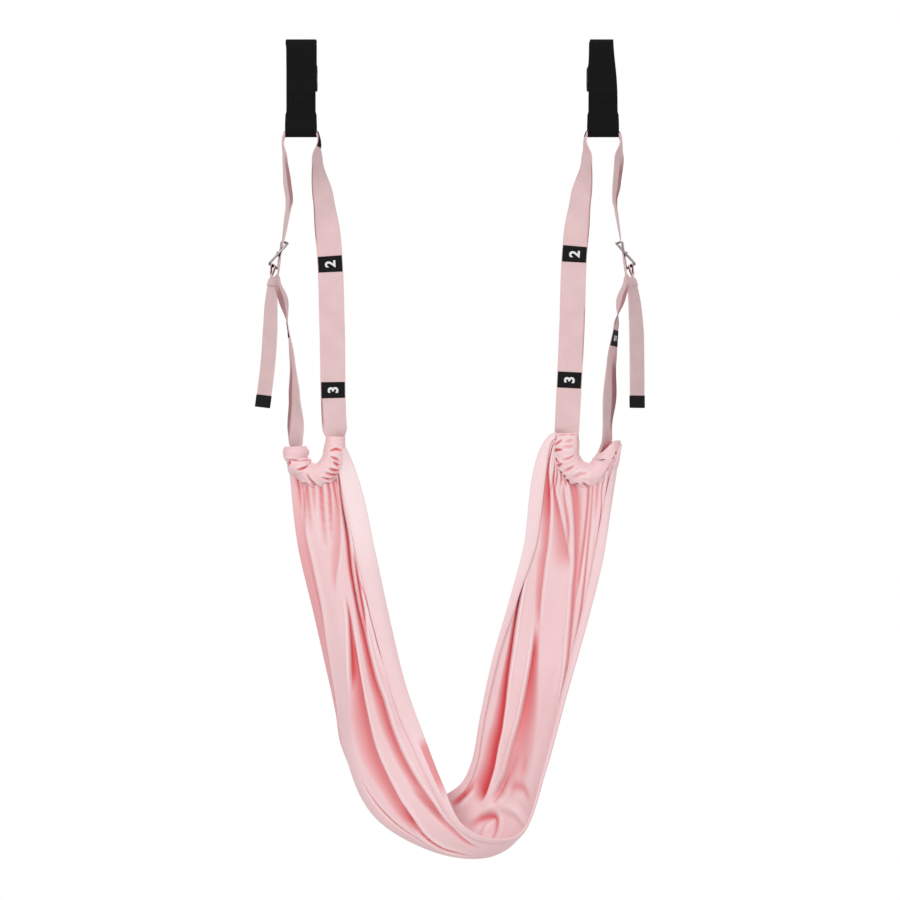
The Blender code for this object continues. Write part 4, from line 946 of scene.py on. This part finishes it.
class Cloth:
    """The sling's cloth: row u runs from the left casing (0) to the right one (13), share v from rear to front."""

    def __init__(self, count_u, count_v):
        self.u, self.v = np.linspace(-0.8, 13.8, count_u), np.linspace(0, 1, count_v)
        self.base = self.base_surface()
        self.normal = surface_normals(self.base)
        self.width = np.linalg.norm(np.diff(self.base, axis=1), axis=2).sum(1)
        self.along = lengths_along(self.base[:, count_v // 2])

    def base_surface(self):
        """The cloth without its folds: a bow across each row, run over into the seams on the casings."""
        rows = np.array(SLING_ROWS, float) / 1000
        slopes = np.gradient(rows, axis=0)
        u = np.clip(self.u, 0, 13)
        i = np.clip(np.floor(u).astype(int), 0, len(rows) - 2)
        r = hermite((u - i)[:, None, None], rows[i], slopes[i], rows[i + 1], slopes[i + 1])
        front, middle, rear = r[:, 0:1], r[:, 1:2], r[:, 2:3]
        turn = 2 * middle - (front + rear) / 2
        s = self.v[None, :, None]
        base = (1 - s) ** 2 * rear + 2 * s * (1 - s) * turn + s**2 * front
        only_x = np.array([1.0, 0.0, 0.0])
        for top, edge, sense in ((LEFT_TOP, 0.0, -1.0), (RIGHT_TOP, 13.0, 1.0)):
            top = np.array(top, float)
            goal = evened(read_at(self.v, top[:, 0], top[:, 1:]), 6) / 1000
            past = np.clip((self.u - edge) * sense, -1.0, 1.0)
            near = past > -1.0
            lift = smoothstep((past + 1.0) / 1.8)[:, None, None]
            if sense > 0:  # the rear edge rounds over the casing's shoulder
                share = np.interp(self.v, [0, 0.25], [1.0, 0.0])[None, :, None] * only_x
                lift = lift * (1 - share) + (1 - np.sqrt(1 - lift**2)) * share
            else:
                lift = lift ** (1 + np.interp(self.v, [0.8, 1.0], [0.0, 0.6])[None, :, None] * only_x)
            base[near] = (goal[None] * lift + base * (1 - lift))[near]
        return base

    def fade(self, at):
        """Full between the ends of a crease, falling away at the ends that lie on the open cloth."""
        ends = min(0.5, 0.35 * (at.max() - at.min()))
        low = 1.0 if at.min() < -0.3 else smoothstep((self.u - at.min()) / ends)
        high = 1.0 if at.max() > 13.2 else smoothstep((at.max() - self.u) / ends)
        return low * high * np.ones(len(self.u))

    def folds(self):
        """For every point: lift along the normal in metres, painted shade, painted highlight, and the lift of the hem's
        step.
        """
        lift, painted_shade, painted_highlight, hemmed = (np.zeros(self.base.shape[:2]) for _ in range(4))
        wide = self.width[:, None] * 1000
        for number, (sense, colour, depth, sharp, knots) in enumerate(VALLEYS):
            at, left, right = np.array(knots, float).T
            left, right = (evened(np.interp(self.u, at, e))[:, None] for e in (left, right))
            gap = (self.v[None] - (right if sharp > 0 else left)) * -sharp * wide
            span = np.maximum((right - left) * wide, 1.8)
            fade = self.fade(at)[:, None]
            if isinstance(colour, tuple):
                colour = np.interp(self.u, *zip(*colour))[:, None]
            ridge = 0.32 * np.exp(-((gap + 4.5) / 2.4) ** 2)
            if number == 0:
                down, shade, ridge = smoothstep((gap + 1.5) / 3.0), smoothstep((gap + 0.8) / 1.6), ridge * 0.6
                hemmed -= sense * depth / 1000 * fade * down
            else:
                down = np.where(gap >= 0, 1 - smoothstep(gap / span / 1.2), np.exp(-(gap / 1.5) ** 2))
                shade = np.where(gap >= 0, (1 - smoothstep(gap / span / 1.1)) ** 0.45, np.exp(-(gap / 0.8) ** 2))
            # painted shade down in the valley, deepest at its sharp edge, and a painted highlight on the rise beside it
            lift -= sense * depth / 1000 * fade * (down - ridge)
            painted_shade = np.maximum(painted_shade, colour * fade * shade)
            painted_highlight = np.maximum(painted_highlight, 0.8 * colour * fade * np.exp(-((gap + 4.0) / 2.4) ** 2))
        for sense, colour, depth, width, knots in SHORT:
            at, share = smooth_knots(knots, 40)
            near = np.where((self.u > at.min() - 0.35) & (self.u < at.max() + 0.35))[0]
            rows = near[:, None, None]
            far = (self.v[None, :, None] - share) * self.width[rows] * 1000
            long = (self.along[rows] - np.interp(at, self.u, self.along)) * 1000
            strength, beside = crease(np.sqrt(far**2 + long**2), width, 0.12, 0.7)
            lift[near] -= sense * depth / 1000 * (strength - 0.3 * beside)
            painted_shade[near] = np.maximum(painted_shade[near], colour * strength ** 1.4)
            painted_highlight[near] = np.maximum(painted_highlight[near], (0.55 * colour * beside if depth > 0 else 0.8 * strength))
        u, v = self.u[:, None], self.v[None, :]
        lift += soft_noise(u * 0.35, v * 5.0, 5, 2) * 0.0010
        under = 1.0
        for edge, band in ((1 - v, FRONT_BAND), (v, REAR_BAND)):
            wide = np.interp(self.u, *zip(*band))[:, None]
            under = under * smoothstep((edge * self.width[:, None] / wide - 0.6) / 0.6)
        return hemmed * (1 - under) + lift * under, np.clip(painted_shade, 0.0, 1.0), painted_highlight * (1 - painted_shade), hemmed


def hem(word, cloth, flat, front):
    """The cloth's turned and stitched edge."""
    shares = np.concatenate([[0.0, 0.02, 0.06], np.linspace(0.12, 0.88, 12), [0.94, 0.98, 1.0]])
    full = np.interp(shares, [0, 0.02, 0.06, 0.12, 0.88, 0.94, 0.98, 1.0], [0.3, 0.7, 0.95, 1, 1, 0.95, 0.7, 0.3])
    u, flat_across = cloth.u, np.zeros(len(shares))
    band = np.interp(u, *zip(*(FRONT_BAND if front else REAR_BAND))) / cloth.width
    # painted highlight along the hem
    light = np.interp(u, *zip(*(FRONT_HEM_HIGHLIGHT if front else REAR_HEM_HIGHLIGHT)))[:, None] + flat_across
    side = np.interp(u, [5.2, 6.2, 7.0, 8.0], [1.0, 0.15, -0.15, -1.0])
    # painted shade on part of the front hem's width low on the left leg, and along the rear hem where it turns away
    # from the light
    if front:
        raised = side * 0.0022
        shade = np.interp(u, [4.0, 4.2, 4.9, 5.3], [0, .6, .6, 0])[:, None] * smoothstep((0.55 - shares) / 0.1)
    else:
        raised = side * np.interp(u, [3.0, 6.0], [0.0, 0.0022])
        shade = np.interp(u, [-.2, 1.0, 3.4, 5.0], [0.05, 0.36, 0.34, 0.0])[:, None] + flat_across
    sheet = []
    for i in range(len(u)):
        at = 1 - band[i] * shares if front else band[i] * shares
        place, normal = (read_at(at, cloth.v, points[i]) for points in (flat, cloth.normal))
        sheet.append(place + normal * raised[i] * np.minimum(1, 0.25 + shares * 2.2)[:, None])
    sheet = np.array(sheet)
    s = lengths_along(sheet[:, 0])
    seam = np.exp(-((shares - HEM_SEAM) / 0.05) ** 2)[None, :]
    pucker = 0.00035 * np.sin(s[:, None] * 2 * math.pi / 0.007) * seam
    half = 0.0018 * full[None, :] - 0.0007 * seam + pucker * 0.5
    uv = np.stack([np.repeat(s[:, None], len(shares), 1), np.repeat(0.02 * shares[None], len(s), 0)], axis=-1)
    item = shell(word, sheet, half, CLOTH, uv, marks={"fold_shade": shade, "painted_highlight": light})
    column = int(np.argmin(abs(shares - HEM_SEAM)))
    normal = surface_normals(sheet)[:, column]
    rows = []
    for sign, place in ((1, "a"), (-1, "b")):
        line = sheet[:, column] + sign * normal * half[:, column, None]
        rows.append(stitches(f"{word}_stitches_{place}", line, sign * normal, HEM_STITCH, PINK_THREAD))
    return item, rows


def sling():
    """The cloth with its folds and its two hems."""
    cloth = Cloth(270, 168)
    lift, painted_shade, painted_highlight, hemmed = cloth.folds()
    surface = cloth.base + cloth.normal * lift[..., None]
    flat = cloth.base + cloth.normal * hemmed[..., None]
    last = len(cloth.v) - 1
    s = lengths_along(surface[:, len(cloth.v) // 2])
    uv = np.stack([np.repeat(s[:, None], last + 1, 1), cloth.v[None, :] * 0.32 + 0 * s[:, None]], axis=-1)
    half = CLOTH_THICKNESS / 2 * np.interp(np.arange(last + 1), [0, 1, last - 1, last], [0.4, 1, 1, 0.4])
    panel = shell("sling_cloth", surface, half, CLOTH, uv, marks={"fold_shade": painted_shade, "painted_highlight": painted_highlight})
    front, front_rows = hem("front_hem", cloth, flat, True)
    rear, rear_rows = hem("rear_hem", cloth, flat, False)
    for item in (panel, front, rear, *front_rows, *rear_rows):
        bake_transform(item)
    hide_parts("sling_panel")
    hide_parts("sling_front_hem")
    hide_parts("sling_rear_hem")
    across = np.linalg.norm(np.diff(surface, axis=1), axis=2).sum(1)
    corners = np.cross(surface[1:, 1:] - surface[:-1, :-1], surface[1:, :-1] - surface[:-1, 1:])
    area = 0.5 * np.linalg.norm(corners, axis=2).sum()
    print("cloth length", round(s[-1], 3), "widths", across.min().round(3), across.max().round(3),
          "area", round(area, 4))


# ---------------------------------------------------------------- casings
CASING_LINE = {
    "left": ((.1748, -.5915), (.1753, -.6035), (.1775, -.62858), (.1907, -.64541), (.2045, -.650), (.2183, -.64541),
             (.2315, -.62858), (.2343, -.6165), (.2347, -.6065)),
    "right": ((.1712, -.5865), (.1716, -.5985), (.1745, -.6270), (.1892, -.6450), (.2045, -.650), (.2176, -.6462),
              (.2300, -.6290), (.2338, -.6075), (.2347, -.5965)),
}
# Radius and flatness along the tube from the inner mouth, metres
CASING_SHAPE = {
    "left": ((0, .0146, .75), (.008, .0155, .9), (.02, .0182, 1), (.035, .0198, 1), (.06, .0190, 1), (.078, .0186, 1),
             (.085, .0160, 1), (.088, .0185, 1), (.093, .0200, 1), (.098, .0188, 1), (.1015, .0160, 1),
             (.105, .0190, 1), (.110, .0207, 1), (.116, .0200, 1), (.121, .0165, 1)),
    "right": ((0, .0192, .36), (.006, .0195, .5), (.015, .0200, .8), (.03, .0198, 1), (.06, .0196, 1), (.09, .0196, 1),
              (.110, .0204, 1), (.122, .0200, 1), (.130, .0190, 1), (.135, .0182, .95)),
}
# Creases of the tubes: strength of their painted shade, depth mm, width mm, knots of distance from the inner mouth mm,
# angle (270 in front)
CASING_CREASES = {
    "left": (
        (1, 2.2, 1.3, ((22, 243), (19, 276), (22, 309))),
        (.9, 2.0, 1.2, ((32, 252), (33, 276), (35, 300))),
        (1, 2.2, 1.2, ((39, 273), (40, 309))),
        (1, 2.2, 1.2, ((50, 273), (45, 321))),
        (1, 2.2, 1.2, ((58, 276), (48, 333))),
        (1, 2.0, 1.1, ((65, 288), (58, 315), (53, 327))),
        (1, 2.4, 1.4, ((65, 322), (61, 350), (62, 366))),
        (.8, 1.8, 1.2, ((86, 273), (76, 306), (71, 360))),
        (1, 2.2, 1.2, ((99, 291), (96, 264), (93, 237))),
        (.8, 1.6, 1.0, ((109, 258), (104, 219), (95, 205))),
        (1, 2.0, 1.2, ((109, 333), (111, 318), (113, 306))),
        (.6, 1.4, 1.0, ((116, 324), (113, 285), (109, 258))),
        (.5, 1.2, 1.4, ((87, 357), (82, 324), (76, 351))),
    ),
    "right": (
        (1, 2.4, 1.2, ((18, 334), (14, 312), (10, 294))),
        (1, 2.4, 1.2, ((26, 348), (25, 318), (25, 291))),
        (1, 2.2, 1.1, ((31, 360), (35, 336), (41, 315))),
        (1, 2.2, 1.1, ((42, 366), (42, 336), (42, 306))),
        (1, 2.2, 1.1, ((47, 366), (47, 335))),
        (1, 2.2, 1.1, ((51, 366), (50, 330))),
        (1, 2.2, 1.1, ((56, 366), (55, 327))),
        (1, 2.2, 1.1, ((61, 366), (60, 336))),
        (.55, 1.4, 1.2, ((38, 297), (39, 267), (36, 234))),
        (.6, 1.4, 1.2, ((51, 318), (52, 291), (53, 261))),
        (.5, 1.2, 1.0, ((3, 312), (2, 264))),
        (.5, 1.2, 1.0, ((2, 258), (3, 225))),
        (1, 2.4, 1.5, ((67, 366), (69, 348), (71, 327))),
        (1, 2.4, 1.4, ((76, 312), (81, 336))),
        (1, 3.6, 1.6, ((114, 208), (119, 228), (123, 258))),
        (.5, 1.2, 1.2, ((124, 297), (119, 321))),
        (.6, 1.4, 1.2, ((132, 306), (125, 327))),
        (.35, 1.0, 1.8, ((13, 273), (10, 240))),
        (.35, 1.0, 1.8, ((21, 288), (20, 237))),
        (.35, 1.2, 1.8, ((62, 312), (68, 273), (78, 261))),
    ),
}
# Turned-in mouth of a tube: points in from its end, share of the radius, strength of the painted shade inside it
CASING_LIP = ((11, 0.50, 0.95), (10, 0.76, 0.9), (5, 0.82, 0.8), (1, 0.90, 0.5), (0, 0.96, 0.2))


def casing(side, sign):
    """The gathered channel that the webbing runs through."""
    line, _, at = curve_through(CASING_LINE[side], 0.0009)
    ahead = unit(np.gradient(line, axis=0))
    count, last = 120, len(line) - 1
    around = np.linspace(0, 2 * math.pi, count, endpoint=False)
    theta, s, length = around[None, :], at[:, None], at[-1]
    place, size, flat = np.array(CASING_SHAPE[side]).T
    place *= length / place[-1]
    size, flat = evened(np.interp(at, place, size), 4), evened(np.interp(at, place, flat), 6)
    seed = 11 if side == "left" else 23
    behind, outside = 0.5 + 0.5 * np.sin(theta), 0.2 + 0.8 * (0.5 + 0.5 * np.cos(theta))
    phase = s / 0.0078 + 0.5 * np.cos(theta + 0.6) + 0.3 * soft_noise(s * 45, np.cos(theta) * 1.2, seed, 2)
    gather = np.abs(np.sin(math.pi * phase))
    ruche = 0.0010 * (0.15 + 0.85 * behind) * (gather ** 0.8 - 0.65)
    swell = 0.0006 * soft_noise(s * 40, np.cos(theta - 0.5) * 1.3 + np.sin(theta), seed + 4, 2)
    radius = size[:, None] - 0.0004 + ruche + swell
    # painted shade down in the gathers, stronger at the back and on the outside of the tube's bend
    painted_shade = np.clip((1 - gather) ** 3, 0, 1) * (0.1 + 0.7 * behind) * 0.8 * outside
    painted_highlight = np.zeros(painted_shade.shape)
    for colour, depth, width, knots in CASING_CREASES[side]:
        line_s, line_t = smooth_knots(knots, 24)
        turn = (theta[..., None] - np.radians(line_t) + math.pi) % (2 * math.pi) - math.pi
        away = np.sqrt((s[..., None] - line_s / 1000) ** 2 + (turn * size[:, None, None]) ** 2) * 1000
        strength, beside = crease(away, 1.5 * width, 0.25, 0.6)
        # painted shade in the crease and a painted highlight beside it
        radius -= 1.5 * depth / 1000 * (strength - 0.4 * beside)
        painted_shade = np.maximum(painted_shade, colour * strength ** 1.2)
        painted_highlight = np.maximum(painted_highlight, 0.6 * beside)
    across = np.stack([ahead[:, 1], np.zeros(len(line)), -ahead[:, 0]], axis=1)
    centre = in_plane(line)

    def ring(index, r):
        deep = np.array([0, flat[index], 0])
        spoke = across[index] * np.cos(around)[:, None] + deep * np.sin(around)[:, None]
        return centre[index] + spoke * r[:, None]

    rings = np.array([ring(d, radius[0] * share) for d, share, _ in CASING_LIP]
                     + [ring(i, radius[i]) for i in range(len(line))]
                     + [ring(last - d, radius[-1] * share) for d, share, _ in CASING_LIP[::-1]])
    # painted shade inside the turned-in mouths
    dark = [np.full(count, colour) for _, _, colour in CASING_LIP]
    marks = {"fold_shade": np.array(dark + list(painted_shade) + dark[::-1]), "painted_highlight": np.pad(painted_highlight, ((5, 5), (0, 0)))}
    if side == "right":  # the outer mouth is pulled down at its inner side
        depths = np.array([d for d, _, _ in CASING_LIP])
        along = np.concatenate([at[depths], at, at[last - depths[::-1]]])[:, None]
        risen = np.clip((along - 0.112) / (length - 0.112), 0, 1)
        rings[..., 2] -= 0.022 * risen * smoothstep((0.2480 - rings[..., 0]) / 0.030)
    rings[..., 0] *= sign
    uv = np.stack(np.meshgrid(np.arange(len(rings)) * 0.0009, np.linspace(0, 0.12, count + 1), indexing="ij"), axis=-1)
    item = ring_solid(side + "_casing_cloth", rings, CLOTH, uv, marks=marks)
    hold(item, side + "_loop", "sling_cloth", side + "_casing")


# ---------------------------------------------------------------- making
for side, sign in SIDES.items():
    route = Route(side, sign)
    webbing_loop(route)
    for number in range(1, 6):
        size_label(route, number)
    label_sewing(route)
    tail(side, sign)
    door_strap(side, sign)
    stopper(side)
    adjuster(side, sign)
    casing(side, sign)
sling()


# ---------------------------------------------------------------- floor, light and camera
def backdrop():
    bpy.ops.object.select_all(action="DESELECT")
    bpy.ops.mesh.primitive_circle_add(vertices=96, radius=2.0, fill_type="NGON", location=(0, 0, 0))
    floor = bpy.context.object
    floor.name = "floor"
    for vertex in floor.data.vertices:
        vertex.co.z = FLOOR_Z
    paint = Finish("pale_floor", 0.9)
    paint.shader.inputs["Base Color"].default_value = (0.9, 0.9, 0.9, 1.0)
    floor.data.materials.append(paint.material)


def area_light(name, place, aim, size, power):
    data = bpy.data.lights.new(name, "AREA")
    data.shape, data.size, data.energy = "DISK", size, power
    lamp = bpy.data.objects.new(name, data)
    bpy.context.scene.collection.objects.link(lamp)
    lamp.location = place
    lamp.rotation_euler = (Vector(aim) - Vector(place)).to_track_quat("-Z", "Y").to_euler()


def world_light(level):
    """Even light all round, and plain white where the camera sees past the object."""
    world = bpy.data.worlds.new("studio")
    bpy.context.scene.world = world
    world.use_nodes = True
    nodes, links = world.node_tree.nodes, world.node_tree.links
    nodes.clear()
    path = nodes.new("ShaderNodeLightPath")
    seen = path.outputs["Is Camera Ray"]
    for ray in ("Is Glossy Ray", "Is Transmission Ray"):
        either = nodes.new("ShaderNodeMath")
        either.operation = "MAXIMUM"
        links.new(seen, either.inputs[0])
        links.new(path.outputs[ray], either.inputs[1])
        seen = either.outputs[0]
    both = nodes.new("ShaderNodeMixShader")
    links.new(seen, both.inputs[0])
    for socket, strength in ((1, level), (2, 1.0)):
        sky = nodes.new("ShaderNodeBackground")
        sky.inputs["Color"].default_value = (1, 1, 1, 1)
        sky.inputs["Strength"].default_value = strength
        links.new(sky.outputs[0], both.inputs[socket])
    links.new(both.outputs[0], nodes.new("ShaderNodeOutputWorld").inputs[0])


backdrop()
area_light("key", (-1.6, -3.0, 1.2), (0, 0, -0.7), 1.6, 62)
area_light("fill", (2.2, -2.4, 0.2), (0, 0, -0.7), 1.8, 22)
area_light("back", (0.6, 2.2, 0.8), (0, 0, -0.7), 1.6, 19)
world_light(0.50)

camera_data = bpy.data.cameras.new("camera")
camera_data.lens = 133.3333
camera_data.sensor_width = 36.0
camera = bpy.data.objects.new("camera", camera_data)
bpy.context.scene.collection.objects.link(camera)
camera.location = (-0.003, HANG_Y - 5.0, -0.612)
camera.rotation_euler = (math.pi / 2, 0.0, 0.0)
bpy.context.scene.camera = camera
bpy.context.scene.view_settings.view_transform = "Standard"
